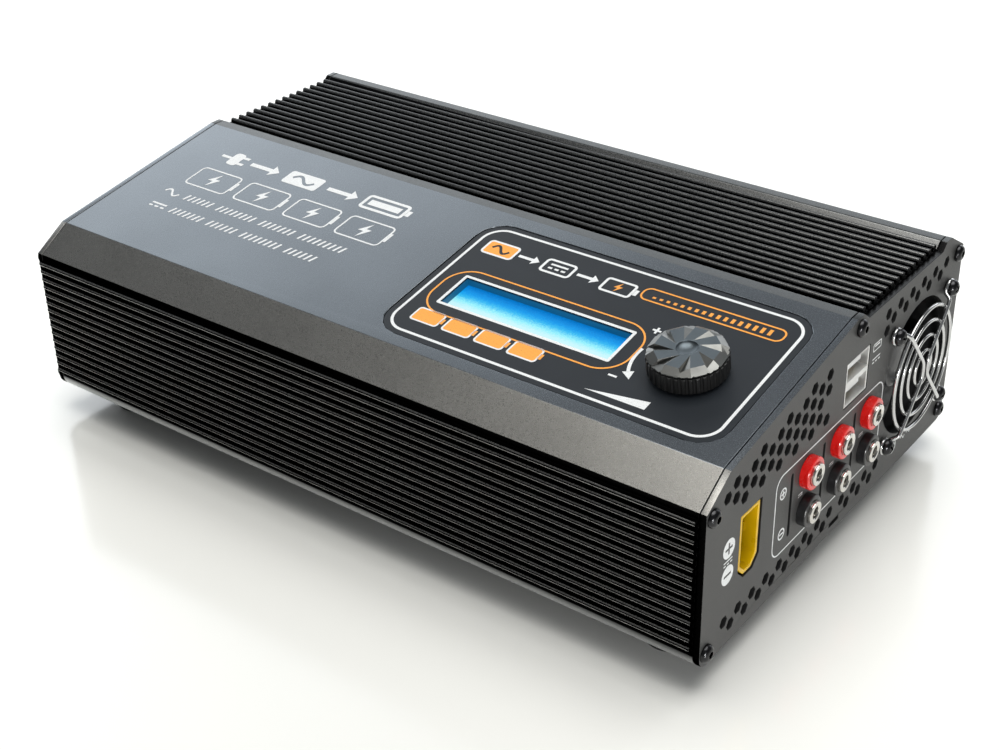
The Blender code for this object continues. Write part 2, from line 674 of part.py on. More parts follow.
def make_usb_socket():
    """Two stacked type-A ports in one metal shell, each with its own tongue."""
    depth, wall = 17.0, 0.5
    width, height = USB_SIZE[0] - 2 * wall, 6.1
    shell = box("usb_shell", (*USB_SIZE, depth), output_frame(*USB_CENTRE, -depth / 2 - 0.1), steel)
    offset = (USB_SIZE[1] - height) / 2 - wall
    back_height = USB_SIZE[1] - 2 * wall
    back_place = output_frame(*USB_CENTRE, -depth + 1.7)
    back = box("usb_back", (width, back_height, 4.0), back_place, None, cutters)
    cut(shell, back)
    insulator_size = (width - 2 * GAP, back_height - 2 * GAP, 2.6)
    insulator_place = output_frame(*USB_CENTRE, -depth + 1.6)
    insulator = box("usb_insulator", insulator_size, insulator_place, white_plastic)
    for side in (1, -1):
        middle = output_frame(USB_CENTRE[0], USB_CENTRE[1] + side * offset, -depth / 2)
        port = box(f"usb_port_{side}", (width, height, depth), middle @ move(0, 0, 0.9), None, cutters)
        cut(shell, port)
        tongue = box(f"usb_tongue_{side}", (11.6, 2.0, depth - 4.0), middle, None, cutters)
        add(insulator, tongue)


# Input sockets

def make_inlet():
    """Mains inlet with a screw flange and an open socket that a cord connector goes into."""
    place = input_frame(*INLET_CENTRE)
    middle = (0.0, 0.0)
    body = plate("ac_inlet", [rounded(middle, INLET_SIZE, 2.6, 3)], -21.0, 0.6, place, black_plastic)
    flange = plate("inlet_flange", [rounded(middle, (50.0, 24.0), 5.0, 4)], GAP, 3.0, place, None, cutters)
    socket_outline = chamfered_socket(middle, INLET_SOCKET_SIZE, 3.6)
    socket = plate("inlet_socket", [socket_outline], -16.0, 4.0, place, None, cutters)
    cut(add(body, flange), socket)


def make_switch():
    """Rocker switch: a framed body through the panel, and a rocker held at one end of its tilt."""
    place = input_frame(*SWITCH_CENTRE)
    middle = (0.0, 0.0)
    neck_size = (SWITCH_SIZE[0] - 2.6, SWITCH_SIZE[1] - 2.6)
    well_size = (SWITCH_SIZE[0] - 4.6, SWITCH_SIZE[1] - 4.6)
    frame = plate(
        "switch_frame", [rectangle(middle, SWITCH_SIZE)], GAP, SWITCH_FRAME_HEIGHT, place, black_plastic)
    neck = plate("switch_neck", [rectangle(middle, neck_size)], -18.0, 1.0, place, None, cutters)
    well = plate("switch_well", [rectangle(middle, well_size)], -8.0, 4.0, place, None, cutters)
    cut(add(frame, neck), well)
    half, thickness = ROCKER_HALF_LENGTH, well_size[1] - 0.8
    outline = [(half, ROCKER_RISE), (0.0, ROCKER_RISE - 1.0), (-half, ROCKER_RISE)]
    outline += circle(middle, 5.2, 6, 200.0, 140.0)
    pivot = place @ move(0, 0, -ROCKER_PIVOT_DEPTH) @ turn(90, "X") @ turn(ROCKER_TILT, "Z")
    plate("switch_rocker", [outline], -thickness / 2, thickness / 2, pivot, black_gloss)


# Inside

def heatsink_outline(width, height, fins):
    """A comb: a base plate with upright fins."""
    pitch = (width - 2.0) / (fins - 1)
    outline = [(-width / 2, 0.0), (width / 2, 0.0)]
    for n in range(fins - 1, -1, -1):
        centre = pitch * n - (width - 2.0) / 2
        outline += [(centre + 1.0, height), (centre - 1.0, height)]
        if n:
            outline += [(centre - 1.0, 4.0), (centre - pitch + 1.0, 4.0)]
    return outline


def make_electronics():
    """Main board on the tray's rails, with the parts that turn mains into low-voltage output."""
    board_low, board_high = 8.3, 9.9
    floor = board_high + GAP
    middle = (0.0, 0.0)
    level = move(0.0, -CASE_DEPTH / 2, FOOT_HEIGHT)
    board_place = level @ move(-12.0, 80.0, (board_low + board_high) / 2)
    box("main_board", (205.0, 136.0, board_high - board_low), board_place, board_green)

    core_outer, core_window = (46.0, 38.0), (30.0, 22.0)
    core_place = level @ move(-8.0, 100.0, floor + 2.0) @ turn(90, "Z")
    core_loops = [rectangle(middle, core_outer), rectangle(middle, core_window)]
    plate("transformer_core", core_loops, 0.0, 34.0, core_place, ferrite)
    winding = rounded(middle, (core_window[0] - 1.0, core_window[1] - 1.0), 6.0, 4)
    plate("transformer_winding", [winding], -1.6, 38.0, core_place, copper)

    capacitor = [(0.0, 42.0), (13.5, 42.0), (14.5, 41.0), (14.5, 0.0), (0.0, 0.0)]
    turned("bulk_capacitor", capacitor, level @ move(-78.0, 100.0, floor), capacitor_blue, 24)

    comb = heatsink_outline(30.0, 36.0, 5)
    for name, x in (("primary_heatsink", -60.0), ("output_heatsink", 48.0)):
        stand = level @ move(x, 34.0, floor) @ turn(90, "Z") @ turn(90, "X")
        plate(name, [comb], -30.0, 30.0, stand, aluminium)

    inductor = [(5.0, 8.0), (13.0, 8.0), (15.0, 6.0), (15.0, -6.0), (13.0, -8.0), (5.0, -8.0)]
    turned("output_inductor", inductor, level @ move(52.0, 104.0, floor + 15.2) @ turn(90, "X"), copper, 20)


def build():
    make_case()
    make_output_panel()
    make_input_panel()
    make_panel_screws()
    make_feet()
    make_fan()
    make_fan_screws()
    make_control_face()
    make_knob()
    make_dc_socket()
    make_banana_sockets()
    make_usb_socket()
    make_inlet()
    make_switch()
    make_electronics()


clear_scene()
parts = new_collection("bench_power_supply")
cutters = new_collection("cutters")
cutters.hide_render = True

grey_case = principled("grey anodised aluminium", (0.16, 0.17, 0.18), 0.45, 0.8)
black_anodised = principled("black anodised aluminium", (0.02, 0.02, 0.022), 0.4, 0.6)
grey_panel = principled("dark grey coated steel", (0.08, 0.08, 0.08), 0.5, 0.5)
black_screw = principled("blackened steel", (0.015, 0.015, 0.015), 0.3, 0.8)
rubber = principled("black rubber", (0.02, 0.02, 0.02), 0.8)
black_plastic = principled("black plastic", (0.02, 0.02, 0.02), 0.4)
black_gloss = principled("black gloss plastic", (0.015, 0.015, 0.015), 0.2)
dark_plastic = principled("dark grey plastic", (0.05, 0.05, 0.05), 0.5)
white_plastic = principled("white plastic", (0.8, 0.8, 0.78), 0.4)
red_plastic = principled("red plastic", (0.7, 0.01, 0.01), 0.35)
yellow = principled("yellow nylon", (0.75, 0.6, 0.02), 0.4)
label_grey = principled("charcoal label film", (0.045, 0.05, 0.058), 0.5)
display_blue = principled("lit blue display", (0.0, 0.45, 0.9), 0.3)
chrome = principled("chromed wire", (0.8, 0.8, 0.8), 0.12, 1.0)
nickel = principled("nickel plate", (0.75, 0.74, 0.72), 0.2, 1.0)
gold = principled("gold plate", (0.85, 0.65, 0.25), 0.25, 1.0)
gunmetal = principled("gunmetal plate", (0.35, 0.37, 0.4), 0.25, 1.0)
steel = principled("bright steel", (0.6, 0.6, 0.6), 0.3, 1.0)
aluminium = principled("plain aluminium", (0.7, 0.7, 0.7), 0.4, 1.0)
copper = principled("enamelled copper", (0.55, 0.25, 0.1), 0.35, 0.8)
ferrite = principled("ferrite", (0.05, 0.05, 0.055), 0.7)
capacitor_blue = principled("blue capacitor sleeve", (0.02, 0.05, 0.2), 0.3)
board_green = principled("green circuit board", (0.02, 0.12, 0.06), 0.4)

build()
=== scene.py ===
import json
import math

import bmesh
import bpy
from mathutils import Matrix, Vector


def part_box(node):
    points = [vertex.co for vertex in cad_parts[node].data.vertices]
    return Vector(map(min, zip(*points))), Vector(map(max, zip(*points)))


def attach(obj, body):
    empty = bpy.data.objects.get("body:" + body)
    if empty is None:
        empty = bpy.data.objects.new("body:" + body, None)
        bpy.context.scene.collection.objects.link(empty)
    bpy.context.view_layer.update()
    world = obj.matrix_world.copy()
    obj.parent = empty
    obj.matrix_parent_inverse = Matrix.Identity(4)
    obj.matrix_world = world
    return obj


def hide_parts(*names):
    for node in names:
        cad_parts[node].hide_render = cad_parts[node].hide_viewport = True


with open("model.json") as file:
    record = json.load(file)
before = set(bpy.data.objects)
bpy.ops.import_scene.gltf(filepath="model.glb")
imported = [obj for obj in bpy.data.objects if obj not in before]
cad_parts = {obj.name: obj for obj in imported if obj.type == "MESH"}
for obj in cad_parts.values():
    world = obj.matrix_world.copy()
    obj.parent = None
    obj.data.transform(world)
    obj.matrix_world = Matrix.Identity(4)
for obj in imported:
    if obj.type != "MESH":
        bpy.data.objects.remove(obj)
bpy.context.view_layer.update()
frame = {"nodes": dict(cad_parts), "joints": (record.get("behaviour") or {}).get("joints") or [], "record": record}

# Lengths are in millimetres here, and turned into metres when a mesh or a matrix is made.
MM = 0.001


def node_low(name):
    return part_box(name)[0] / MM


def node_high(name):
    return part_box(name)[1] / MM


joints = {joint["name"]: joint for joint in frame["joints"]}
OUTPUT_FACE = node_high("output_end_panel").x
INPUT_FACE = node_low("input_end_panel").x
FRONT_WALL = node_low("bottom_tray").y
UNDERSIDE = node_low("bottom_tray").z

# The knob turns on an axis square to the control face, through a point this far above the face
KNOB_PIVOT_HEIGHT = 5.0
knob_axis = Vector(joints["knob_turn"]["axis"])
knob_foot = Vector(joints["knob_turn"]["pos_m"]) / MM - knob_axis * KNOB_PIVOT_HEIGHT
face_up = knob_axis.cross(Vector((1, 0, 0)))


# Places

def move(x=0.0, y=0.0, z=0.0):
    return Matrix.Translation(Vector((x, y, z)) * MM)


def turn(degrees, axis):
    return Matrix.Rotation(math.radians(degrees), 4, axis)


def end_frame(face, u=0.0, v=0.0, w=0.0):
    """Local x is depth from the front wall, y is height above the underside and z is world +X."""
    across = Matrix(((0, 0, 1, 0), (1, 0, 0, 0), (0, 1, 0, 0), (0, 0, 0, 1)))
    return move(face + w, u + FRONT_WALL, v + UNDERSIDE) @ across


def output_frame(u=0.0, v=0.0, w=0.0):
    return end_frame(OUTPUT_FACE, u, v, w)


def input_frame(u=0.0, v=0.0, w=0.0):
    """Local z points out of the input panel, and x runs to the front."""
    return end_frame(INPUT_FACE, u, v, -w) @ turn(180, "Y")


def face_frame(a=0.0, s=0.0, h=0.0):
    """On the control face, from the knob's centre: x is world X, y runs up the slope and z stands out."""
    spot = (knob_foot + Vector((1, 0, 0)) * a + face_up * s + knob_axis * h) * MM
    aligned = Matrix((Vector((1, 0, 0)), face_up, knob_axis)).transposed().to_4x4()
    return Matrix.Translation(spot) @ aligned


def panel_spot(node):
    """Centre of a node's box, as depth and height on an end panel."""
    middle = (node_low(node) + node_high(node)) / 2
    return middle.y - FRONT_WALL, middle.z - UNDERSIDE


def face_spot(node):
    """Centre and size of a flat node on the control face."""
    low, high = node_low(node), node_high(node)
    middle = (low + high) / 2 - knob_foot
    return (middle.x, middle.dot(face_up)), (high.x - low.x, (high.y - low.y) / knob_axis.z)


# Shapes

def polar(radius, degrees):
    return radius * math.cos(math.radians(degrees)), radius * math.sin(math.radians(degrees))


def link(name, data, matrix):
    made = bpy.data.objects.new(name, data)
    bpy.context.scene.collection.objects.link(made)
    made.matrix_world = matrix
    return made


def finish_mesh(shape, name, smooth=35.0):
    bmesh.ops.recalc_face_normals(shape, faces=shape.faces)
    mesh = bpy.data.meshes.new(name)
    shape.to_mesh(mesh)
    shape.free()
    mesh.shade_smooth()
    mesh.set_sharp_from_angle(angle=math.radians(smooth))
    return mesh


def baked(obj, smooth=35.0):
    """Applies every modifier, and returns an object with a plain mesh that copies can share."""
    bpy.context.view_layer.update()
    graph = bpy.context.evaluated_depsgraph_get()
    mesh = bpy.data.meshes.new_from_object(obj.evaluated_get(graph))
    shape = bmesh.new()
    shape.from_mesh(mesh)
    bpy.data.meshes.remove(mesh)
    bmesh.ops.remove_doubles(shape, verts=shape.verts, dist=0.000001)
    name, matrix = obj.name, obj.matrix_world.copy()
    bpy.data.objects.remove(obj)
    return link(name, finish_mesh(shape, name, smooth), matrix)


def bevelled(obj, width, segments=2, angle=40.0, smooth=35.0):
    """Rounds every edge sharper than the angle."""
    step = obj.modifiers.new("Bevel", "BEVEL")
    step.width = width * MM
    step.segments = segments
    step.limit_method = "ANGLE"
    step.angle_limit = math.radians(angle)
    step.use_clamp_overlap = True
    return baked(obj, smooth)


def cut(obj, tools):
    """Cuts helper objects from an object, and removes them."""
    for tool in tools:
        step = obj.modifiers.new(tool.name, "BOOLEAN")
        step.operation = "DIFFERENCE"
        step.solver = "EXACT"
        step.object = tool
    made = baked(obj)
    for tool in tools:
        bpy.data.objects.remove(tool)
    return made


def plate(name, loops, low, high, matrix):
    """A flat outline with holes, extruded along local z from low to high."""
    curve = bpy.data.curves.new(name, "CURVE")
    curve.dimensions = "2D"
    curve.fill_mode = "BOTH"
    curve.extrude = (high - low) / 2 * MM
    for loop in loops:
        spline = curve.splines.new("POLY")
        spline.points.add(len(loop) - 1)
        spline.use_cyclic_u = True
        for point, (u, v) in zip(spline.points, loop):
            point.co = (u * MM, v * MM, 0.0, 1.0)
    return baked(link(name, curve, matrix @ move(0, 0, (low + high) / 2)))


def box(name, size, matrix, bevel=0.0, segments=2):
    shape = bmesh.new()
    bmesh.ops.create_cube(shape, size=1.0, matrix=Matrix.Diagonal((*(Vector(size) * MM), 1)))
    made = link(name, finish_mesh(shape, name), matrix)
    return bevelled(made, bevel, segments) if bevel else made


def lathe(name, profile, matrix, steps=48, smooth=30.0):
    """Turns (radius, height) points about local z."""
    shape = bmesh.new()
    rings = []
    for radius, height in profile:
        if radius == 0:
            rings.append([shape.verts.new((0, 0, height * MM))])
            continue
        spots = [polar(radius * MM, 360 * k / steps) for k in range(steps)]
        rings.append([shape.verts.new((*spot, height * MM)) for spot in spots])
    pairs = list(zip(rings, rings[1:]))
    if profile[0][0] and profile[-1][0]:
        pairs.append((rings[-1], rings[0]))
    for upper, lower in pairs:
        for k in range(steps):
            after = (k + 1) % steps
            corners = [upper[k % len(upper)], upper[after % len(upper)]]
            corners += [lower[after % len(lower)], lower[k % len(lower)]]
            corners = list(dict.fromkeys(corners))
            if len(corners) > 2:
                shape.faces.new(corners)
    return link(name, finish_mesh(shape, name, smooth), matrix)


def wire(name, path, radius, matrix, cyclic=False):
    """Round wire along the points of path."""
    curve = bpy.data.curves.new(name, "CURVE")
    curve.dimensions = "3D"
    curve.bevel_depth = radius * MM
    curve.bevel_resolution = 4
    curve.use_fill_caps = not cyclic
    spline = curve.splines.new("POLY")
    spline.points.add(len(path) - 1)
    spline.use_cyclic_u = cyclic
    for point, place in zip(spline.points, path):
        point.co = (*(Vector(place) * MM), 1.0)
    return baked(link(name, curve, matrix), 60.0)


def joined(name, objects):
    """One object from several, kept as separate shells in one mesh."""
    matrix = objects[0].matrix_world.copy()
    back = matrix.inverted()
    shape = bmesh.new()
    for part in objects:
        mesh = part.data.copy()
        mesh.transform(back @ part.matrix_world)
        shape.from_mesh(mesh)
        bpy.data.meshes.remove(mesh)
        bpy.data.objects.remove(part)
    return link(name, finish_mesh(shape, name), matrix)


# Outlines

def circle(centre, radius, sides=48, start=0.0, sweep=360.0):
    count = sides if abs(sweep) == 360.0 else sides + 1
    spokes = [polar(radius, start + sweep * i / sides) for i in range(count)]
    return [(centre[0] + x, centre[1] + y) for x, y in spokes]


def rectangle(centre, size):
    (u, v), (width, height) = centre, size
    return [(u + a * width / 2, v + b * height / 2) for a, b in ((-1, -1), (1, -1), (1, 1), (-1, 1))]


def rounded(centre, size, radius, sides=10):
    (u, v), (width, height) = centre, size
    loop = []
    for a, b, start in ((-1, -1, 180), (1, -1, 270), (1, 1, 0), (-1, 1, 90)):
        corner = (u + a * (width / 2 - radius), v + b * (height / 2 - radius))
        loop += circle(corner, radius, sides, start, 90.0)
    return loop


def chamfered_socket(centre, size, chamfer):
    (u, v), (width, height) = centre, size
    half, low, high = width / 2, v - height / 2, v + height / 2
    return [
        (u - half + chamfer, low), (u + half - chamfer, low), (u + half, low + chamfer),
        (u + half, high), (u - half, high), (u - half, low + chamfer)]


def offset_line(points, distance):
    """The points moved sideways by distance, mitred at the corners."""
    normals = []
    for (x, y), (next_x, next_y) in zip(points, points[1:]):
        length = math.hypot(next_x - x, next_y - y)
        normals.append(((y - next_y) / length, (next_x - x) / length))
    moved = []
    for (x, y), before, after in zip(points, normals[:1] + normals, normals + normals[-1:]):
        nx, ny = (before[0] + after[0]) / 2, (before[1] + after[1]) / 2
        scale = distance / max(nx * nx + ny * ny, 0.25)
        moved.append((x + nx * scale, y + ny * scale))
    return moved


def stroke(points, width):
    """Outline loop of a line drawn with a pen of this width."""
    return [offset_line(points, width / 2) + offset_line(points, -width / 2)[::-1]]


def ring(x, y, radius, pen):
    return [circle((x, y), radius, 40), circle((x, y), radius - pen, 40)]


def arc(centre, radius, start, end, sides=24):
    return circle(centre, radius, sides, start, end - start)


# Materials

# Height of the foot of the case that gets the painted reflection of the floor
LIP_TOP = 4.6


class Nodes:
    """Short calls for adding nodes to a tree."""

    def __init__(self, tree):
        self.tree = tree

    def node(self, kind, **settings):
        made = self.tree.nodes.new(kind)
        for key, value in settings.items():
            setattr(made, key, value)
        return made

    def put(self, target, value):
        """Links a socket, or writes a constant."""
        if hasattr(value, "is_output"):
            self.tree.links.new(value, target)
        else:
            target.default_value = value

    def part(self, vector, axis):
        split = self.node("ShaderNodeSeparateXYZ")
        self.put(split.inputs["Vector"], vector)
        return split.outputs[axis]

    def span(self, value, low, high, to_low, to_high, interpolation="LINEAR"):
        made = self.node("ShaderNodeMapRange", interpolation_type=interpolation)
        self.put(made.inputs["Value"], value)
        for key, number in zip(("From Min", "From Max", "To Min", "To Max"), (low, high, to_low, to_high)):
            made.inputs[key].default_value = number
        return made.outputs["Result"]

    def math(self, operation, first, second):
        made = self.node("ShaderNodeMath", operation=operation)
        self.put(made.inputs[0], first)
        self.put(made.inputs[1], second)
        return made.outputs["Value"]


class Shader(Nodes):
    """The nodes of one material, new by its name, or one that is there already."""

    def __init__(self, made):
        self.material = bpy.data.materials.new(made) if isinstance(made, str) else made
        self.material.use_nodes = True
        super().__init__(self.material.node_tree)
        self.surface = self.tree.nodes["Principled BSDF"]

    def place(self, stretch=(1.0, 1.0, 1.0)):
        """Object coordinates, stretched."""
        coordinates = self.node("ShaderNodeTexCoord")
        mapping = self.node("ShaderNodeMapping")
        self.put(mapping.inputs["Vector"], coordinates.outputs["Object"])
        mapping.inputs["Scale"].default_value = stretch
        return mapping.outputs["Vector"]

    def noise(self, scale, detail=2.0, roughness=0.5, stretch=(1.0, 1.0, 1.0)):
        """Scale is in features per metre."""
        texture = self.node("ShaderNodeTexNoise")
        self.put(texture.inputs["Vector"], self.place(stretch))
        texture.inputs["Scale"].default_value = scale
        texture.inputs["Detail"].default_value = detail
        texture.inputs["Roughness"].default_value = roughness
        return texture.outputs["Fac"]

    def cells(self, scale):
        """A random colour for each small cell."""
        texture = self.node("ShaderNodeTexVoronoi")
        self.put(texture.inputs["Vector"], self.place())
        texture.inputs["Scale"].default_value = scale
        return texture.outputs["Color"]

    def ramp(self, value, *stops):
        made = self.node("ShaderNodeValToRGB")
        self.put(made.inputs["Fac"], value)
        ends = made.color_ramp.elements
        while len(ends) < len(stops):
            ends.new(0.5)
        for end, (at, colour) in zip(ends, stops):
            end.position = at
            end.color = (*colour, 1.0)
        return made.outputs["Color"]

    def mix(self, factor, first, second, blend="MIX"):
        made = self.node("ShaderNodeMix", data_type="RGBA", blend_type=blend)
        self.put(made.inputs[0], factor)
        self.put(made.inputs[6], (*first, 1.0) if isinstance(first, tuple) else first)
        self.put(made.inputs[7], (*second, 1.0) if isinstance(second, tuple) else second)
        return made.outputs[2]

    def bump(self, height, distance):
        made = self.node("ShaderNodeBump")
        self.put(made.inputs["Height"], height)
        made.inputs["Distance"].default_value = distance * MM
        made.inputs["Strength"].default_value = 1.0
        self.put(self.surface.inputs["Normal"], made.outputs["Normal"])

    def set(self, **values):
        """Principled inputs by name, with _ for a space."""
        for key, value in values.items():
            target = self.surface.inputs[key.replace("_", " ")]
            if isinstance(value, tuple) and len(value) == 3:
                value = (*value, 1.0)
            self.put(target, value)


def srgb(*values):
    """Linear colour from 0 to 255 values."""
    return tuple((v / 255 / 12.92) if v <= 10 else ((v / 255 + 0.055) / 1.055) ** 2.4 for v in values)


def moulded(name, colour, rough=0.42, grain=0.01, coat=0.0):
    """Injection-moulded plastic: a fine grain, and patches that handling has made a little shinier."""
    s = Shader(name)
    patches = s.noise(90.0, 3.0)
    tone = s.span(patches, 0.3, 0.7, 0.85, 1.15)
    shade = s.mix(1.0, colour, tone, "MULTIPLY")
    s.set(Base_Color=shade, Roughness=s.span(patches, 0.3, 0.7, rough - 0.06, rough + 0.08))
    s.set(Coat_Weight=coat, Coat_Roughness=0.08)
    s.bump(s.noise(4200.0, 2.0), grain)
    return s.material


def plated(name, colour, rough=0.12, tarnish=0.12, scratch=0.004):
    """Bright plated or turned metal, with faint drawing marks and duller patches."""
    s = Shader(name)
    patches = s.noise(260.0, 3.0)
    darker = tuple(c * (1.0 - tarnish) for c in colour)
    s.set(Base_Color=s.mix(s.span(patches, 0.35, 0.7, 0.0, 1.0), colour, darker), Metallic=1.0)
    s.set(Roughness=s.span(patches, 0.3, 0.75, rough, rough + 0.1))
    s.bump(s.noise(2600.0, 2.0, 0.5, (1.0, 1.0, 5.0)), scratch)
    return s.material


def blasted(name, fineness, colour, rough, sparkle, grain=0.03, brighter=1.35, uneven=0.08):
    """Bead-blasted and anodised aluminium: fine grain, and tiny facets that catch the light."""
    s = Shader(name)
    facets = s.cells(fineness)
    lightness = s.node("ShaderNodeSeparateColor")
    s.put(lightness.inputs["Color"], facets)
    flashes = s.span(lightness.outputs["Red"], 1.0 - sparkle, 1.0, 1.0, brighter)
    cloud = s.span(s.noise(28.0, 4.0), 0.3, 0.7, 0.94, 1.06)
    tone = s.math("MULTIPLY", flashes, cloud)
    s.set(Base_Color=s.mix(1.0, colour, tone, "MULTIPLY"), Metallic=1.0)
    s.set(Roughness=s.span(lightness.outputs["Green"], 0.0, 1.0, rough - uneven, rough + uneven))
    s.bump(s.noise(fineness * 1.3, 3.0, 0.6), grain)
    return s.material


def wall_black_painted_shade():
    """The anodised black of the finned walls: a darker copy of the fin finish whose glancing reflections are
    tinted almost black, painted shade for the grooves between the fins.
    """
    black = blasted("wall_black_painted_shade", 4200.0, (0.003, 0.003, 0.003), 0.3, 0.2, 0.0015, 1.3)
    black.node_tree.nodes["Principled BSDF"].inputs["Specular Tint"].default_value = (0.03, 0.03, 0.03, 1.0)
    return black


def fin_edge_painted_light(name, shade):
    """Painted highlights on the rounded edges of the front fins: lighter copies of the black finish that stand in
    for the light the edges catch.
    """
    return blasted(name, 4200.0, (shade, shade, 0.98 * shade), 0.28, 0.2, 0.0, 1.05, 0.02)


def tray_lip_painted_reflection():
    """Painted reflection of the floor on the rounded foot of the case: a near-white copy of the black finish,
    fading out upwards and darker towards the output end, where the floor is in shadow.
    """
    bright = blasted("tray_lip_painted_reflection", 4200.0, (0.96, 0.975, 0.975), 0.4, 0.2, 0.002, 1.1)
    lower = faded(bright, "Z", UNDERSIDE + 1.5, UNDERSIDE + LIP_TOP, 1.0, 0.08)
    return faded(lower, "X", INPUT_FACE, OUTPUT_FACE, 1.0, 0.5)


def panel_grey():
    s = Shader("panel_powder_coat")
    grains = s.noise(2800.0, 3.0, 0.6)
    cloud = s.span(s.noise(40.0, 3.0), 0.3, 0.7, 0.92, 1.08)
    fleck = s.span(grains, 0.4, 0.75, 0.9, 1.35)
    s.set(Base_Color=s.mix(1.0, (0.070, 0.070, 0.069), s.math("MULTIPLY", cloud, fleck), "MULTIPLY"))
    s.set(Roughness=s.span(grains, 0.3, 0.7, 0.42, 0.6), Metallic=0.35, Specular_IOR_Level=0.5)
    s.bump(grains, 0.05)
    return s.material


def faded(material, axis, start, end, at_start, at_end):
    """The material, with its colour multiplied by a ramp along an object axis, in mm."""
    s = Shader(material)
    colour = s.surface.inputs["Base Color"].links[0].from_socket
    share = s.span(s.part(s.place(), axis), start * MM, end * MM, at_start, at_end)
    s.set(Base_Color=s.mix(1.0, colour, share, "MULTIPLY"))
    return material


def socket_nylon_painted_shade():
    """Yellow nylon with painted shade deep in the socket, and painted light towards its mouth."""
    nylon = moulded("yellow_nylon", srgb(190, 152, 1), 0.3, 0.01, 0.1)
    return faded(nylon, "Z", 2.0, 10.5, 0.2, 1.3)


def rubber():
    s = Shader("foot_rubber")
    dust = s.span(s.noise(300.0, 4.0), 0.35, 0.75, 0.0, 0.5)
    s.set(Base_Color=s.mix(dust, (0.012, 0.012, 0.013), (0.035, 0.034, 0.032)), Roughness=0.72)
    s.bump(s.noise(5200.0, 3.0), 0.03)
    return s.material


def label_film():
    """Printed film with a fine weave and a satin coat."""
    s = Shader("label_film")
    weave = s.noise(3000.0, 2.0)
    cloud = s.span(s.noise(60.0, 3.0), 0.3, 0.7, 0.93, 1.07)
    s.set(Base_Color=s.mix(1.0, (0.016, 0.0195, 0.024), cloud, "MULTIPLY"))
    s.set(Roughness=s.span(weave, 0.3, 0.7, 0.36, 0.46), Specular_IOR_Level=0.16)
    s.bump(weave, 0.006)
    return s.material


def ink(name, colour, rough=0.5):
    """Screen-printed ink, with pinholes and an uneven film."""
    s = Shader(name)
    film = s.noise(2400.0, 3.0)
    worn = tuple(c * 0.72 for c in colour)
    s.set(Base_Color=s.mix(s.span(film, 0.52, 0.72, 0.0, 1.0), colour, worn), Roughness=rough)
    s.bump(film, 0.012)
    return s.material


def lit_display():
    """A liquid-crystal window lit from its lower edge: deep blue fading to near white, with a noisy edge."""
    s = Shader("lit_display")
    height = s.part(s.node("ShaderNodeTexCoord").outputs["Generated"], "Y")
    wobble = s.span(s.noise(2200.0, 3.0, 0.7), 0.3, 0.7, -0.05, 0.05)
    at = s.math("ADD", height, wobble)
    glow = s.ramp(
        at, (0.36, srgb(206, 250, 255)), (0.48, srgb(150, 244, 255)), (0.6, srgb(52, 192, 246)),
        (0.7, srgb(12, 158, 240)), (0.84, srgb(6, 128, 214)), (1.0, srgb(4, 92, 160)))
    s.set(Base_Color=(0.002, 0.01, 0.02), Emission_Color=glow, Emission_Strength=0.95)
    s.set(Roughness=0.4, Specular_IOR_Level=0.2)
    s.bump(s.noise(900.0, 2.0), 0.002)
    return s.material


def circuit_board():
    s = Shader("circuit_board")
    tracks = s.node("ShaderNodeTexBrick")
    s.put(tracks.inputs["Vector"], s.place())
    tracks.inputs["Scale"].default_value = 240.0
    tracks.inputs["Mortar Size"].default_value = 0.05
    mask = s.mix(s.noise(70.0, 3.0), (0.008, 0.07, 0.03), (0.02, 0.13, 0.06))
    s.set(Base_Color=s.mix(tracks.outputs["Fac"], mask, (0.05, 0.2, 0.09)), Roughness=0.35)
    s.bump(s.noise(1500.0, 2.0), 0.01)
    return s.material


def mottled(name, pattern, colours, rough, grain, coat=0.0):
    """Two colours mixed by a noise, which also gives the relief."""
    s = Shader(name)
    patches = s.noise(*pattern)
    s.set(Base_Color=s.mix(patches, *colours), Roughness=rough, Coat_Weight=coat)
    s.bump(patches, grain)
    return s.material


def copper_winding():
    """Close turns of enamelled wire."""
    s = Shader("copper_winding")
    bands = s.node("ShaderNodeTexWave", wave_type="BANDS", bands_direction="Z", wave_profile="SIN")
    s.put(bands.inputs["Vector"], s.place())
    bands.inputs["Scale"].default_value = 420.0
    bands.inputs["Distortion"].default_value = 0.6
    s.set(Base_Color=s.mix(bands.outputs["Fac"], (0.25, 0.06, 0.02), (0.75, 0.28, 0.10)), Metallic=0.8)
    s.set(Roughness=0.28, Coat_Weight=0.5)
    s.bump(bands.outputs["Fac"], 0.2)
    return s.material


def floor_white():
    """Pale glossy acrylic."""
    s = Shader("floor_white")
    haze = s.noise(14.0, 3.0)
    s.set(Base_Color=(0.93, 0.93, 0.89), Roughness=s.span(haze, 0.3, 0.7, 0.16, 0.18), Specular_IOR_Level=1.0)
    return s.material


WHITE_INK = ink("white_ink", srgb(226, 228, 228))
ORANGE_INK = ink("orange_ink", srgb(243, 158, 44))
SLOPE = blasted("slope_grey", 6500.0, (0.165, 0.182, 0.198), 0.25, 0.25, 0.001, 1.06, 0.03)
# The chamfer is the same finish as the slope; its warmer, lighter grey is painted light
CHAMFER_PAINTED_LIGHT = blasted("chamfer_grey_painted_light", 5200.0, (0.27, 0.265, 0.25), 0.33, 0.2, 0.008, 1.3)
BLACK_FIN = blasted("fin_black", 4200.0, (0.0065, 0.0066, 0.0068), 0.3, 0.2, 0.001, 1.3)
# Painted shade: the fin walls in a darker black with near-black glancing reflections
WALL_BLACK_PAINTED_SHADE = wall_black_painted_shade()
PANEL = panel_grey()
STRIP = blasted("strip_grey", 5200.0, (0.055, 0.058, 0.058), 0.33, 0.2, 0.006, 1.2)
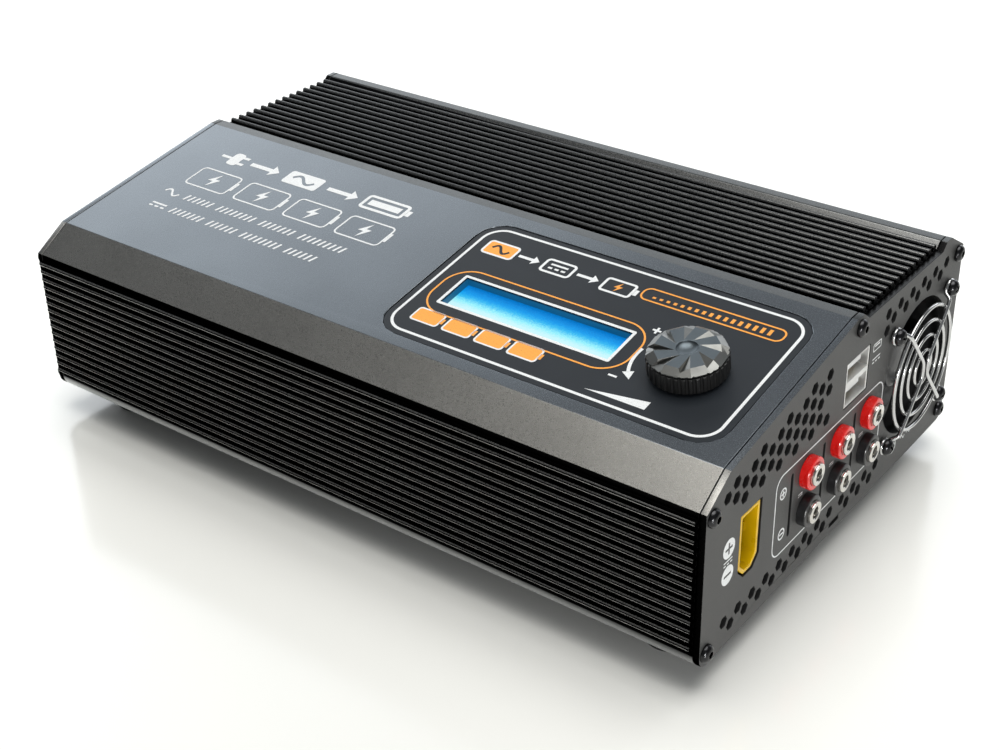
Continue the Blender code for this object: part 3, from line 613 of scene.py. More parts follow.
# Painted highlight on the upper fin edges, and a brighter painted reflection of the floor on their under edges
FIN_EDGE_PAINTED_HIGHLIGHT = fin_edge_painted_light("fin_edge_painted_light", 0.13)
FIN_UNDER_EDGE_PAINTED_REFLECTION = fin_edge_painted_light("fin_under_edge_painted_reflection", 0.62)
# Painted highlight on the rounded tops of the ribs
RIB_EDGE_PAINTED_HIGHLIGHT = blasted("rib_edge_painted_highlight", 4200.0, (0.15, 0.152, 0.15), 0.28, 0.2, 0.004, 1.2)
# Painted reflection of the floor along the foot of the case
TRAY_LIP_PAINTED_REFLECTION = tray_lip_painted_reflection()
BLACK_STEEL = plated("black_steel", (0.045, 0.045, 0.047), 0.2, 0.2, 0.004)
# Painted shade: near black for the walls inside the panel openings
HOLE_BLACK_PAINTED_SHADE = moulded("hole_black_painted_shade", (0.004, 0.004, 0.004), 0.6, 0.01)
GRIP_BLACK = moulded("grip_black", (0.005, 0.005, 0.005), 0.45, 0.008)
GUARD_STEEL = plated("guard_steel", (0.60, 0.60, 0.60), 0.15, 0.1, 0.003)
BLACK_PLASTIC = moulded("black_plastic", (0.014, 0.014, 0.015), 0.36, 0.012, 0.1)
FAN_PLASTIC = moulded("fan_plastic", (0.02, 0.02, 0.021), 0.34, 0.01, 0.15)
ROTOR_PLASTIC = moulded("rotor_plastic", (0.035, 0.036, 0.038), 0.28, 0.008, 0.25)
RED_PLASTIC = moulded("red_plastic", (0.72, 0.006, 0.004), 0.28, 0.004, 0.35)
GLOSS_BLACK = moulded("gloss_black", (0.008, 0.008, 0.009), 0.14, 0.003, 0.6)
# Painted shade deep inside the output socket, painted light near its mouth
YELLOW_NYLON_PAINTED_SHADE = socket_nylon_painted_shade()
WHITE_NYLON = moulded("white_nylon", (0.84, 0.84, 0.83), 0.4, 0.01)
PORT_STEEL = plated("port_steel", (0.80, 0.80, 0.79), 0.42, 0.04, 0.002)
NICKEL = plated("nickel", (0.72, 0.70, 0.66), 0.14, 0.12)
STEEL = plated("bright_steel", (0.62, 0.62, 0.62), 0.2, 0.12, 0.006)
GOLD = plated("gold_contact", (0.86, 0.60, 0.20), 0.2, 0.12, 0.005)
KNOB_METAL = plated("knob_metal", (0.155, 0.157, 0.15), 0.28, 0.1, 0.003)
KNOB_LAND = plated("knob_land", (0.10, 0.118, 0.13), 0.36, 0.08, 0.003)
RUBBER = rubber()
LABEL = label_film()
DISPLAY = lit_display()
BOARD = circuit_board()
FERRITE = mottled("ferrite", (2200.0, 4.0, 0.65), ((0.02, 0.02, 0.022), (0.07, 0.07, 0.075)), 0.6, 0.05)
COPPER = copper_winding()
SLEEVE = mottled(
    "capacitor_sleeve", (500.0, 3.0, 0.5, (1.0, 1.0, 0.2)), ((0.01, 0.03, 0.14), (0.02, 0.06, 0.24)),
    0.25, 0.03, 0.4)
HEATSINK = blasted("heatsink_alloy", 2600.0, (0.62, 0.62, 0.62), 0.34, 0.08, 0.03, 1.1)

SLOT_MATERIALS = {
    "case_cover": SLOPE, "case_tray": BLACK_FIN, "end_panel": PANEL, "black_screw": BLACK_STEEL,
    "foot_rubber": RUBBER, "fan_frame": FAN_PLASTIC, "fan_rotor": ROTOR_PLASTIC, "guard_wire": GUARD_STEEL,
    "label": LABEL, "black_plastic": BLACK_PLASTIC, "display_glass": DISPLAY, "circuit_board": BOARD,
    "knob_metal": KNOB_METAL, "bright_steel": STEEL, "yellow_nylon": YELLOW_NYLON_PAINTED_SHADE, "gold_contact": GOLD,
    "red_plastic": RED_PLASTIC, "nickel": NICKEL, "usb_insulator": WHITE_NYLON,
    "switch_rocker": GLOSS_BLACK, "ferrite": FERRITE, "copper_winding": COPPER,
    "capacitor_sleeve": SLEEVE, "heatsink": HEATSINK,
}
SLOT_OF = {row["node"]: row["material_slot"] for row in frame["record"]["subparts"]}
BODY_OF = {node: body for body, nodes in frame["record"]["behaviour"]["bodies"].items() for node in nodes}

for node, slot in SLOT_OF.items():
    mesh = frame["nodes"][node].data
    mesh.materials.clear()
    mesh.materials.append(SLOT_MATERIALS[slot])


# Pieces

def piece(obj, material, node=None, body="case"):
    """Gives an object its material and body. With a node it takes that node's place."""
    obj.data.materials.clear()
    obj.data.materials.append(material)
    flatten = obj.modifiers.new("Weighted normals", "WEIGHTED_NORMAL")
    flatten.keep_sharp = True
    flatten.weight = 100
    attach(obj, BODY_OF[node] if node else body)
    if node:
        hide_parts(node)
    return obj


# An edge is rounded where it bends by more degrees than HARD_BEND, or SHALLOW_BEND if it is a long one
LONG_EDGE = 100.0
SHALLOW_BEND, HARD_BEND = 5.0, 30.0


def polished(node, width, segments=2, share=None):
    """A copy of a CAD node with every hard edge rounded, by the share of width that share gives."""
    shape = bmesh.new()
    shape.from_mesh(frame["nodes"][node].data)
    bmesh.ops.remove_doubles(shape, verts=shape.verts, dist=0.000002)
    weights = shape.edges.layers.float.new("bevel_weight_edge")
    for edge in shape.edges:
        least = SHALLOW_BEND if edge.calc_length() > LONG_EDGE * MM else HARD_BEND
        if edge.calc_face_angle(0.0) > math.radians(least):
            edge[weights] = share(edge) if share else 1.0
    made = link(node + "_finished", finish_mesh(shape, node + "_finished"), Matrix.Identity(4))
    step = made.modifiers.new("Bevel", "BEVEL")
    step.width = width * MM
    step.segments = segments
    step.limit_method = "WEIGHT"
    step.use_clamp_overlap = False
    return baked(made, 40.0)


def panel_point(position):
    """Depth from the front wall and height above the underside."""
    return position.y / MM - FRONT_WALL, position.z / MM - UNDERSIDE


# Case

# The case seen from its end, from the underside round by the front, as depth and height
SHOULDER = (0.0, 52.3)
FACE_FRONT = (11.9, 59.9)
FACE_BACK = (83.8, 72.6)
STRIP_BACK = (87.9, 72.7)
RIB_BED_FRONT = (91.5, 69.9)
REAR_STEP = (147.1, 72.3)
REAR_STRIP = (150.9, 72.4)
CASE_DEPTH = 161.8
REAR_SHOULDER = (CASE_DEPTH, 65.9)
LOWER_CORNER = 4.0
FIN_EDGE_DEPTH = 1.4
FINISHES = (
    SLOPE, BLACK_FIN, WALL_BLACK_PAINTED_SHADE, CHAMFER_PAINTED_LIGHT, STRIP, PANEL, HOLE_BLACK_PAINTED_SHADE,
    FIN_EDGE_PAINTED_HIGHLIGHT, FIN_UNDER_EDGE_PAINTED_REFLECTION, RIB_EDGE_PAINTED_HIGHLIGHT, TRAY_LIP_PAINTED_REFLECTION)
# Height above which rounded rib edges get the painted highlight
RIB_EDGE_HEIGHT = 71.4
ROUNDED = 0.97


def past_fin_edge(depth):
    return depth < -FIN_EDGE_DEPTH or depth > CASE_DEPTH + FIN_EDGE_DEPTH


def case_finish(depth, height):
    """Which material the case gets at this depth and height of its outline; the chamfer's lighter grey is painted
    light and the walls' darker black is painted shade.
    """
    if height < SHOULDER[1] + 0.1 or depth > REAR_STRIP[0] + 0.2:
        return WALL_BLACK_PAINTED_SHADE
    if depth < FACE_FRONT[0] - 0.1:
        return CHAMFER_PAINTED_LIGHT
    if depth < FACE_BACK[0]:
        return SLOPE
    if depth < STRIP_BACK[0] + 0.4 or depth > REAR_STEP[0] - 0.2:
        return STRIP
    return BLACK_FIN


def finned_finish(face):
    """As case_finish, with painted highlights on the rounded edges of the fins and ribs, and a painted reflection
    of the floor on the fins' under edges and on the foot of the case.
    """
    depth, height = panel_point(face.center)
    finish = case_finish(depth, height)
    # The rounded foot of the case gets the painted reflection of the floor
    if height < LIP_TOP and face.normal.z > -ROUNDED:
        return TRAY_LIP_PAINTED_REFLECTION
    across, deep, upright = map(abs, face.normal)
    rounded_edge = max(deep, upright) < ROUNDED and across < 1.0 - ROUNDED
    if finish not in (BLACK_FIN, WALL_BLACK_PAINTED_SHADE) or not rounded_edge:
        return finish
    if height < SHOULDER[1]:
        # Upper fin edges get the painted highlight, under edges the painted reflection of the floor
        tip = FIN_EDGE_PAINTED_HIGHLIGHT if face.normal.z > 0 else FIN_UNDER_EDGE_PAINTED_REFLECTION
        return tip if past_fin_edge(depth) else finish
    # Rounded rib edges get the painted highlight
    return RIB_EDGE_PAINTED_HIGHLIGHT if height > RIB_EDGE_HEIGHT else finish


def finish_faces(obj, chosen):
    """Gives each face the finish that chosen names for it."""
    obj.data.materials.clear()
    for material in FINISHES:
        obj.data.materials.append(material)
    for face in obj.data.polygons:
        face.material_index = FINISHES.index(chosen(face))


def cover_share(edge):
    """Full rounding on the top ribs, less on the tips of the wall fins, and half elsewhere."""
    depth, height = panel_point((edge.verts[0].co + edge.verts[1].co) / 2)
    along = abs(edge.verts[0].co.x - edge.verts[1].co.x) > abs(edge.verts[0].co.y - edge.verts[1].co.y)
    if along and height > SHOULDER[1] and depth > RIB_BED_FRONT[0]:
        return 1.0
    return 0.7 if along and past_fin_edge(depth) else 0.5


cover = polished("top_cover", 0.42, segments=3, share=cover_share)
piece(cover, SLOPE, "top_cover")
finish_faces(cover, finned_finish)

TRAY_GROOVE = (5.3, 1.5, 0.9)
groove_height, groove_width, groove_depth = TRAY_GROOVE
tray_low, tray_high = node_low("bottom_tray"), node_high("bottom_tray")
groove = box(
    "tray_groove", (tray_high.x - tray_low.x + 2.0, 2 * groove_depth, groove_width),
    move((tray_high.x + tray_low.x) / 2, tray_low.y, UNDERSIDE + groove_height))
tray = link("bottom_tray_finished", frame["nodes"]["bottom_tray"].data.copy(), Matrix.Identity(4))
tray = bevelled(cut(tray, [groove]), 0.2, 2, 30.0)
piece(tray, BLACK_FIN, "bottom_tray")
finish_faces(tray, finned_finish)

outline = [
    (0.0, LOWER_CORNER), SHOULDER, FACE_FRONT, FACE_BACK, STRIP_BACK, RIB_BED_FRONT,
    (REAR_STEP[0] - 2.7, RIB_BED_FRONT[1]), REAR_STEP, REAR_STRIP, REAR_SHOULDER,
    (CASE_DEPTH, LOWER_CORNER), (CASE_DEPTH - LOWER_CORNER, 0.0), (LOWER_CORNER, 0.0)]
RIM_MARGIN = 1.2


def from_rim(depth, height):
    """Distance from the outline of the case."""
    spot = Vector((depth, height))
    nearest = 1000.0
    for a, b in zip(outline, outline[1:] + outline[:1]):
        a, b = Vector(a), Vector(b)
        along = max(0.0, min(1.0, (spot - a).dot(b - a) / (b - a).length_squared))
        nearest = min(nearest, (spot - a.lerp(b, along)).length)
    return nearest


def panel_finish(face):
    """Powder coat in front, the colour of the case round the rim and painted shade, near black, inside the
    openings.
    """
    if abs(face.normal.x) > 0.75:
        return PANEL
    depth, height = panel_point(face.center)
    return case_finish(depth, height) if from_rim(depth, height) < RIM_MARGIN else HOLE_BLACK_PAINTED_SHADE


for panel in ("output_end_panel", "input_end_panel"):
    made = piece(polished(panel, 0.16), PANEL, panel)
    finish_faces(made, panel_finish)

for row in ("front", "back"):
    for side in ("left", "right"):
        foot_node = f"foot_{row}_{side}"
        low, high = node_low(foot_node), node_high(foot_node)
        middle = (low + high) / 2
        foot_top = high.z
        profile = [
            (0, foot_top), (6.95, foot_top), (7.25, foot_top - 0.25), (7.95, 1.4), (7.95, 0.9), (7.75, 0.45),
            (7.4, 0.12), (7.0, 0.0), (3.9, 0.0), (3.55, 0.12), (3.3, 0.5), (2.9, 2.1), (2.6, 2.35), (0, 2.4)]
        foot = lathe(foot_node + "_moulded", profile, move(middle.x, middle.y, 0), 64)
        piece(foot, RUBBER, foot_node)


# Screws

HEX_SOCKET_RADIUS = 1.15


def set_screws(screw, places):
    """A copy of the screw for each node, at the node's place."""
    for node, place in places.items():
        piece(link(node + "_machined", screw.data.copy(), place), BLACK_STEEL, node)
    bpy.data.objects.remove(screw)


def button_screw(name):
    """Button head with a hexagonal socket, seen from outside; its shank is inside the case."""
    profile = [
        (0, 1.95), (1.3, 1.95), (1.75, 1.85), (2.2, 1.6), (2.55, 1.22), (2.76, 0.75), (2.8, 0.3),
        (2.74, 0.04), (1.4, 0.02), (1.4, -8.8), (1.1, -9.0), (0, -9.0)]
    head = lathe(name, profile, Matrix.Identity(4), 48)
    socket = plate(name + "_socket", [circle((0, 0), HEX_SOCKET_RADIUS, 6)], 0.55, 3.0, Matrix.Identity(4))
    return bevelled(cut(head, [socket]), 0.07, 2, 50.0)


panel_screws = {}
for panel, place in (("output", output_frame), ("input", input_frame)):
    for number in range(1, 6):
        node = f"{panel}_panel_screw_{number}"
        panel_screws[node] = place(*panel_spot(node)) @ turn(17.0 * number, "Z")
set_screws(button_screw("panel_screw"), panel_screws)


# Fan

fan_spot = panel_spot("fan_guard")
fan_place = output_frame(*fan_spot)
FAN_CORNER = 20.0
FAN_HALF = 25.0
FAN_LOW, FAN_HIGH = -17.3, -2.3
FAN_BORE = 23.6
fan_corners = [(a * FAN_CORNER, b * FAN_CORNER) for a in (-1, 1) for b in (-1, 1)]
fan_holes = [circle(corner, 2.1, 20) for corner in fan_corners]
fan_body = rounded((0, 0), (2 * FAN_HALF, 2 * FAN_HALF), 3.0)
flanges = [
    plate(f"fan_flange_{n}", [fan_body, circle((0, 0), FAN_BORE, 96)] + fan_holes, low, low + 2.6, fan_place)
    for n, low in enumerate((FAN_LOW, FAN_HIGH - 2.6))]
duct_profile = [
    (FAN_BORE, FAN_HIGH - 0.4), (FAN_BORE + 1.2, FAN_HIGH - 2.0), (FAN_BORE + 1.2, FAN_LOW + 2.0),
    (FAN_BORE, FAN_LOW + 0.4)]
duct = lathe("fan_duct", duct_profile, fan_place, 96)
spokes = [
    box(f"fan_spoke_{n}", (FAN_BORE - 7.0, 2.2, 1.4),
        fan_place @ turn(n * 120 + 30, "Z") @ move((FAN_BORE + 7.0) / 2, 0, FAN_LOW + 0.8), 0.2)
    for n in range(3)]
seat_profile = [
    (0, FAN_LOW + 2.0), (8.6, FAN_LOW + 2.0), (9.0, FAN_LOW + 1.7), (9.0, FAN_LOW + 0.1), (0, FAN_LOW + 0.1)]
seat = lathe("fan_motor_seat", seat_profile, fan_place, 64)
fan_frame = joined("fan_frame_moulded", flanges + [duct, seat] + spokes)
piece(fan_frame, FAN_PLASTIC, "fan_frame")

HUB_RADIUS = 9.5
HUB_LOW, HUB_HIGH = -14.7, -5.5
hub_profile = [
    (0, HUB_HIGH - 0.35), (6.2, HUB_HIGH - 0.35), (6.5, HUB_HIGH), (8.7, HUB_HIGH), (9.2, HUB_HIGH - 0.2),
    (HUB_RADIUS, HUB_HIGH - 0.7), (HUB_RADIUS, HUB_LOW), (0, HUB_LOW)]
hub = lathe("fan_hub", hub_profile, fan_place, 64)


def fan_blade(name, place):
    """One swept and twisted blade, leaning back towards its tip."""
    shape = bmesh.new()
    steps, across = 10, 8
    root, tip = 8.9, 22.2
    rows = []
    for i in range(steps + 1):
        reach = i / steps
        radius = root + (tip - root) * reach
        half_chord = (5.6 + 2.2 * reach) / 2 / radius * 1.55
        lean = -0.16 * reach ** 1.5
        rows.append([])
        for j in range(across + 1):
            t = j / across * 2 - 1
            angle = lean + t * half_chord
            height = -10.1 + t * (3.2 - 0.6 * reach) + 0.45 * (1 - t * t)
            rows[-1].append(shape.verts.new(
                (radius * MM * math.cos(angle), radius * MM * math.sin(angle), height * MM)))
    for upper, lower in zip(rows, rows[1:]):
        for j in range(across):
            shape.faces.new((upper[j], upper[j + 1], lower[j + 1], lower[j]))
    mesh = bpy.data.meshes.new(name)
    shape.to_mesh(mesh)
    shape.free()
    blade = link(name, mesh, place)
    thick = blade.modifiers.new("Solidify", "SOLIDIFY")
    thick.thickness = 0.9 * MM
    thick.offset = 0.0
    return bevelled(blade, 0.2, 2, 50.0)


blades = [fan_blade(f"fan_blade_{n}", fan_place @ turn(n * 360 / 7, "Z")) for n in range(7)]
piece(joined("fan_rotor_moulded", [hub] + blades), ROTOR_PLASTIC, "fan_rotor")


def softened(path, rounds=3):
    """Cuts the corners of a path again and again, which leaves it smooth."""
    for _ in range(rounds):
        cut_path = [path[0]]
        for a, b in zip(path, path[1:]):
            a, b = Vector(a), Vector(b)
            cut_path += [a.lerp(b, 0.25), a.lerp(b, 0.75)]
        path = cut_path + [path[-1]]
    return path


def guard_arm(side):
    """One bent wire: a hook round the upper screw, in to the middle, and out to the lower screw."""
    hook = [
        (x, y, 1.05) for x, y in circle((-FAN_CORNER, FAN_CORNER), 2.35, 20, 315.0, -270.0)]
    upper = hook + [
        (-16.9, 20.0, 1.05), (-16.0, 19.3, 1.5), (-15.2, 18.5, 3.3), (-14.2, 17.4, 3.7), (-4.4, 6.0, 3.7),
        (-2.2, 3.2, 3.7), (-1.6, 1.2, 3.7)]
    lower = [(x, -y, z) for x, y, z in reversed(upper)]
    return softened([(side * -x, y, z) for x, y, z in upper + lower], 2)


WIRE_RADIUS = 0.68
GUARD_HEIGHT = 2.7
guard_wires = []
for n, radius in enumerate((6.0, 11.0, 16.0, 21.0)):
    path = [(x, y, GUARD_HEIGHT) for x, y in circle((0, 0), radius, 96)]
    guard_wires.append(wire(f"guard_ring_{n}", path, WIRE_RADIUS, fan_place, True))
for n, side in enumerate((-1, 1)):
    guard_wires.append(wire(f"guard_arm_{n}", guard_arm(side), WIRE_RADIUS, fan_place))
piece(joined("fan_guard_wires", guard_wires), GUARD_STEEL, "fan_guard")


def fan_screw(name):
    """Pan head with a cross recess, over the guard's hook."""
    profile = [
        (0, 4.0), (0.9, 3.97), (1.6, 3.82), (2.15, 3.5), (2.55, 3.0), (2.75, 2.45), (2.8, 2.1), (2.7, 1.92),
        (1.5, 1.9), (1.5, -12.8), (0, -13.0)]
    head = lathe(name, profile, Matrix.Identity(4), 48)
    slots = [
        box(f"{name}_slot_{way}", (3.2, 0.75, 2.0), move(0, 0, 3.7) @ turn(way, "Z"), 0.1)
        for way in (20, 110)]
    return bevelled(cut(head, slots), 0.06, 2, 50.0)


fan_screws = {}
for number in range(1, 5):
    node = f"fan_screw_{number}"
    fan_screws[node] = output_frame(*panel_spot(node)) @ turn(23.0 * number, "Z")
set_screws(fan_screw("fan_screw"), fan_screws)


# Control face

LABEL_TOP = -0.2
INK_LOW, INK_HIGH = 0.01, 0.05
(label_x, label_y), (label_width, label_height) = face_spot("label_plate")
(window_x, window_y), _ = face_spot("display_surround")
WINDOW_SIZE = (61.6, 13.7)
SURROUND_SIZE = (64.0, 16.1)
KNOB_HOLE_RADIUS = 3.6
window_centre = (window_x, window_y)
label_loops = [
    rounded((label_x, label_y), (label_width, label_height), 9.0, 20), rectangle(window_centre, WINDOW_SIZE),
    circle((0, 0), KNOB_HOLE_RADIUS, 48)]
label_plate = plate("label_plate_printed", label_loops, LABEL_TOP - 0.5, LABEL_TOP, face_frame())
piece(bevelled(label_plate, 0.08), LABEL, "label_plate")

SURROUND_LOW, SURROUND_HIGH = -3.2, -1.0
surround_loops = [rectangle(window_centre, size) for size in (SURROUND_SIZE, WINDOW_SIZE)]
surround = plate("display_surround_moulded", surround_loops, SURROUND_LOW, SURROUND_HIGH, face_frame())
# The display surround glows blue of its own: painted light from the display falling on its walls
surround_painted_glow = moulded("surround_painted_glow", (0.003, 0.05, 0.09), 0.4, 0.004, 0.1)
surround_painted_glow_inputs = surround_painted_glow.node_tree.nodes["Principled BSDF"].inputs
surround_painted_glow_inputs["Emission Color"].default_value = (*srgb(12, 78, 118), 1.0)
surround_painted_glow_inputs["Emission Strength"].default_value = 0.8
piece(bevelled(surround, 0.15), surround_painted_glow, "display_surround")

GLASS_THICKNESS = 2.4
glass_high = SURROUND_LOW - 0.3
glass = box(
    "display_glass_lit", (66.0, 18.0, GLASS_THICKNESS),
    face_frame(window_x, window_y, glass_high - GLASS_THICKNESS / 2), 0.3, 3)
piece(glass, DISPLAY, "display_glass")


def printed(name, shapes, material, place, body="case"):
    """Thin printed shapes. Each shape is a list of loops: an outline and its holes."""
    layers = [plate(f"{name}_{n}", loops, INK_LOW, INK_HIGH, place) for n, loops in enumerate(shapes)]
    return piece(joined(name, layers), material, None, body)


def frame_line(centre, size, radius, width):
    """A rounded rectangle drawn with a pen."""
    (w, h), half = size, width / 2
    return [
        rounded(centre, (w + width, h + width), radius + half, 14),
        rounded(centre, (w - width, h - width), max(radius - half, 0.05), 14)]


def bar(x, y, width, height):
    return [rectangle((x, y), (width, height))]


def plus(x, y, size, width):
    h, w = size / 2, width / 2
    corners = (
        (w, w), (w, h), (-w, h), (-w, w), (-h, w), (-h, -w),
        (-w, -w), (-w, -h), (w, -h), (w, -w), (h, -w), (h, w))
    return [[(x + a, y + b) for a, b in corners]]


def sine(x, y, width, height, pen):
    points = [
        (x - width / 2 + width * i / 28, y + height / 2 * math.sin(2 * math.pi * i / 28)) for i in range(29)]
    return stroke(points, pen)


def direct(x, y, width, height, pen):
    """The sign for direct current: a line over three dashes."""
    dash = width / 4.2
    shapes = [bar(x, y + height / 2, width, pen)]
    return shapes + [bar(x + k * (width - dash) / 2, y - height / 2, dash, pen) for k in (-1, 0, 1)]


def bolt(x, y, height):
    corners = ((0.12, 0.5), (-0.3, -0.06), (-0.02, -0.06), (-0.12, -0.5), (0.3, 0.1), (0.02, 0.1))
    return [[(x + a * height, y + b * height) for a, b in corners]]


def pointer(x, y, length, height, pen):
    """A straight arrow towards +x."""
    tip, neck = x + length / 2, x + length / 2 - height * 0.6
    corners = (
        (x - length / 2, y + pen / 2), (neck, y + pen / 2), (neck, y + height / 2), (tip, y),
        (neck, y - height / 2), (neck, y - pen / 2), (x - length / 2, y - pen / 2))
    return [list(corners)]


def battery(x, y, width, height, pen, filled=0.0):
    """A cell on its side, with its terminal to the right, filled from the left."""
    shapes = [frame_line((x, y), (width, height), height * 0.16, pen)]
    shapes.append(bar(x + width / 2 + pen * 1.3, y, pen * 1.4, height * 0.45))
    if filled:
        inner_width, inner_height = (width - 3.2 * pen) * filled, height - 3.2 * pen
        shapes.append(bar(x - (width - 3.2 * pen - inner_width) / 2, y, inner_width, inner_height))
    return shapes


def mains_plug(x, y, size, pen):
    """A plug with two pins to the right and a lead to the left."""
    body = [rounded((x, y), (size * 0.62, size), size * 0.2)]
    pins = [bar(x + size * 0.5, y + k * size * 0.26, size * 0.38, pen) for k in (-1, 1)]
    return [body] + pins + [bar(x - size * 0.62, y, size * 0.62, pen)]


label_place = face_frame(0, 0, LABEL_TOP)
white = [frame_line((label_x, label_y), (label_width - 4.9, label_height - 4.7), 7.0, 0.95)]
white.append(frame_line(window_centre, (WINDOW_SIZE[0] + 1.1, WINDOW_SIZE[1] + 1.1), 0.2, 1.0))
SIGN_SIZE, SIGN_PEN = 2.9, 0.75
ARROW_RADIUS = 17.2
white.append(plus(-17.8, 11.5, SIGN_SIZE, SIGN_PEN))
white.append(bar(-18.0, -12.0, SIGN_SIZE, SIGN_PEN))
white.append(stroke(arc((0, 0), ARROW_RADIUS, 172.0, 210.0, 20), 1.05))
ARROW_TIP = (ARROW_RADIUS, 221.0), (ARROW_RADIUS - 1.75, 209.0), (ARROW_RADIUS + 1.75, 209.0)
white.append([[polar(radius, degrees) for radius, degrees in ARROW_TIP]])
white.append([[(-22.0, -20.4), (-2.0, -20.4), (-2.0, -16.9)]])
UPPER_ROW = 24.3
FIRST_SIGN, SIGN_PITCH = -84.6, 22.4
direct_x, battery_x = FIRST_SIGN + SIGN_PITCH, FIRST_SIGN + 2 * SIGN_PITCH
white.append(frame_line((FIRST_SIGN, UPPER_ROW), (11.4, 6.6), 1.2, 0.8))
white.append(frame_line((direct_x, UPPER_ROW), (10.6, 6.2), 1.2, 0.9))
white += direct(direct_x, UPPER_ROW, 6.4, 1.9, 0.8)
white += [pointer(x + SIGN_PITCH / 2, UPPER_ROW, 8.0, 4.2, 1.2) for x in (FIRST_SIGN, direct_x)]
white += battery(battery_x, UPPER_ROW, 10.4, 6.2, 0.9)
printed("label_white_print", white, WHITE_INK, label_place)

pill_x, pill_y = -7.6, 25.7
orange = [frame_line((pill_x, pill_y), (48.2, 5.7), 2.4, 0.6)]
SCALE_BARS = 17
for n in range(SCALE_BARS):
    rise = 0.8 + 1.9 * n / (SCALE_BARS - 1)
    orange.append(bar(pill_x - 19.5 + 39.0 * n / (SCALE_BARS - 1), pill_y - 1.3 + rise / 2, 1.1, rise))
orange.append(bolt(battery_x, UPPER_ROW, 4.8))
first_sign = rounded((FIRST_SIGN, UPPER_ROW), (10.6, 5.8), 0.8)
orange.append([first_sign] + sine(FIRST_SIGN, UPPER_ROW, 6.8, 3.2, 1.0))
LOOP_Y = window_y - 0.6
orange.append(frame_line((window_x, LOOP_Y), (73.0, 23.0), 9.0, 0.6))
CELLS, CELL_ROW = 4, -14.6
CELL_SIZE, CELL_RIM = (9.4, 5.4), (10.6, 6.6)
white_rims = []
for n in range(CELLS):
    cell_x = -83.4 + 12.2 * n
    cell = rounded((cell_x, CELL_ROW), CELL_SIZE, 0.8)
    orange.append([cell])
    orange.append(bar(cell_x + 5.5, CELL_ROW, 1.2, 2.4))
    white_rims.append([rounded((cell_x, CELL_ROW), CELL_RIM, 1.3), cell])
printed("label_cell_rims", white_rims, WHITE_INK, label_place)
printed("label_orange_print", orange, ORANGE_INK, label_place)


def tally(x, y, groups, height, width, pitch):
    """Groups of short leaning strokes, like the marks of a gauge."""
    lean = height * 0.16
    shapes = []
    for count in groups:
        for _ in range(count):
            shapes.append([[
                (x - width / 2 - lean, y - height / 2), (x + width / 2 - lean, y - height / 2),
                (x + width / 2 + lean, y + height / 2), (x - width / 2 + lean, y + height / 2)]])
            x += pitch
        x += pitch
    return shapes


# Signs and rows of strokes on the cover, which stand where words would
row_x, row_y = -168.3, 27.0
cover_white = mains_plug(row_x - 37.0, row_y, 7.4, 1.3)
cover_white.append(pointer(row_x - 22.6, row_y, 13.6, 6.0, 1.9))
converter_x = row_x - 4.2
converter = rounded((converter_x, row_y), (15.6, 7.4), 1.2)
cover_white.append([converter] + sine(converter_x, row_y, 10.0, 3.4, 1.2))
cover_white.append(pointer(row_x + 14.0, row_y, 13.6, 6.0, 1.9))
cover_white += battery(row_x + 33.0, row_y, 17.4, 6.8, 1.2, 1.0)
CELL_PITCH = 23.4
for n in range(CELLS):
    cell_x, cell_y = row_x - 34.2 + CELL_PITCH * n, row_y - 14.2
    cover_white += battery(cell_x, cell_y, 18.8, 10.8, 0.62)
    cover_white.append(bolt(cell_x, cell_y, 8.2))
printed("cover_white_print", cover_white, WHITE_INK, face_frame())
TALLY = (3.2, 0.85, 2.25)
fine = [sine(row_x - 42.4, row_y - 26.6, 7.0, 3.0, 0.8)]
fine += tally(row_x - 35.0, row_y - 26.6, (6, 8, 7, 9), *TALLY)
fine += direct(row_x - 41.0, row_y - 34.8, 7.0, 1.7, 0.8)
fine += tally(row_x - 33.8, row_y - 34.8, (7, 6, 8, 6), *TALLY)
printed("cover_white_lines", fine, WHITE_INK, face_frame())


# Knob

GRIP_LOW, GRIP_HIGH = 0.6, 6.0
CAP_LOW, CAP_HIGH = 6.3, 8.2
FLUTES = 36
knob_place = face_frame()
flute_cutters = [
    lathe(f"knob_flute_{n}", [(0, 9.0), (0.62, 9.0), (0.62, -1.0), (0, -1.0)],
          knob_place @ turn(n * 360 / FLUTES, "Z") @ move(12.1, 0, 0), 16)
    for n in range(FLUTES)]
flute_tool = joined("knob_flutes", flute_cutters)
grip_profile = [
    (3.1, GRIP_HIGH), (11.6, GRIP_HIGH), (11.9, GRIP_HIGH - 0.15), (12.0, GRIP_HIGH - 0.5),
    (12.0, GRIP_LOW + 0.7), (11.8, GRIP_LOW + 0.2), (11.4, GRIP_LOW), (3.1, GRIP_LOW)]
grip = lathe("knob_grip_fluted", grip_profile, knob_place, 144)
grip_tool = link("grip_flutes", flute_tool.data.copy(), flute_tool.matrix_world)
piece(bevelled(cut(grip, [grip_tool]), 0.08, 2, 50.0), GRIP_BLACK, "knob_grip")


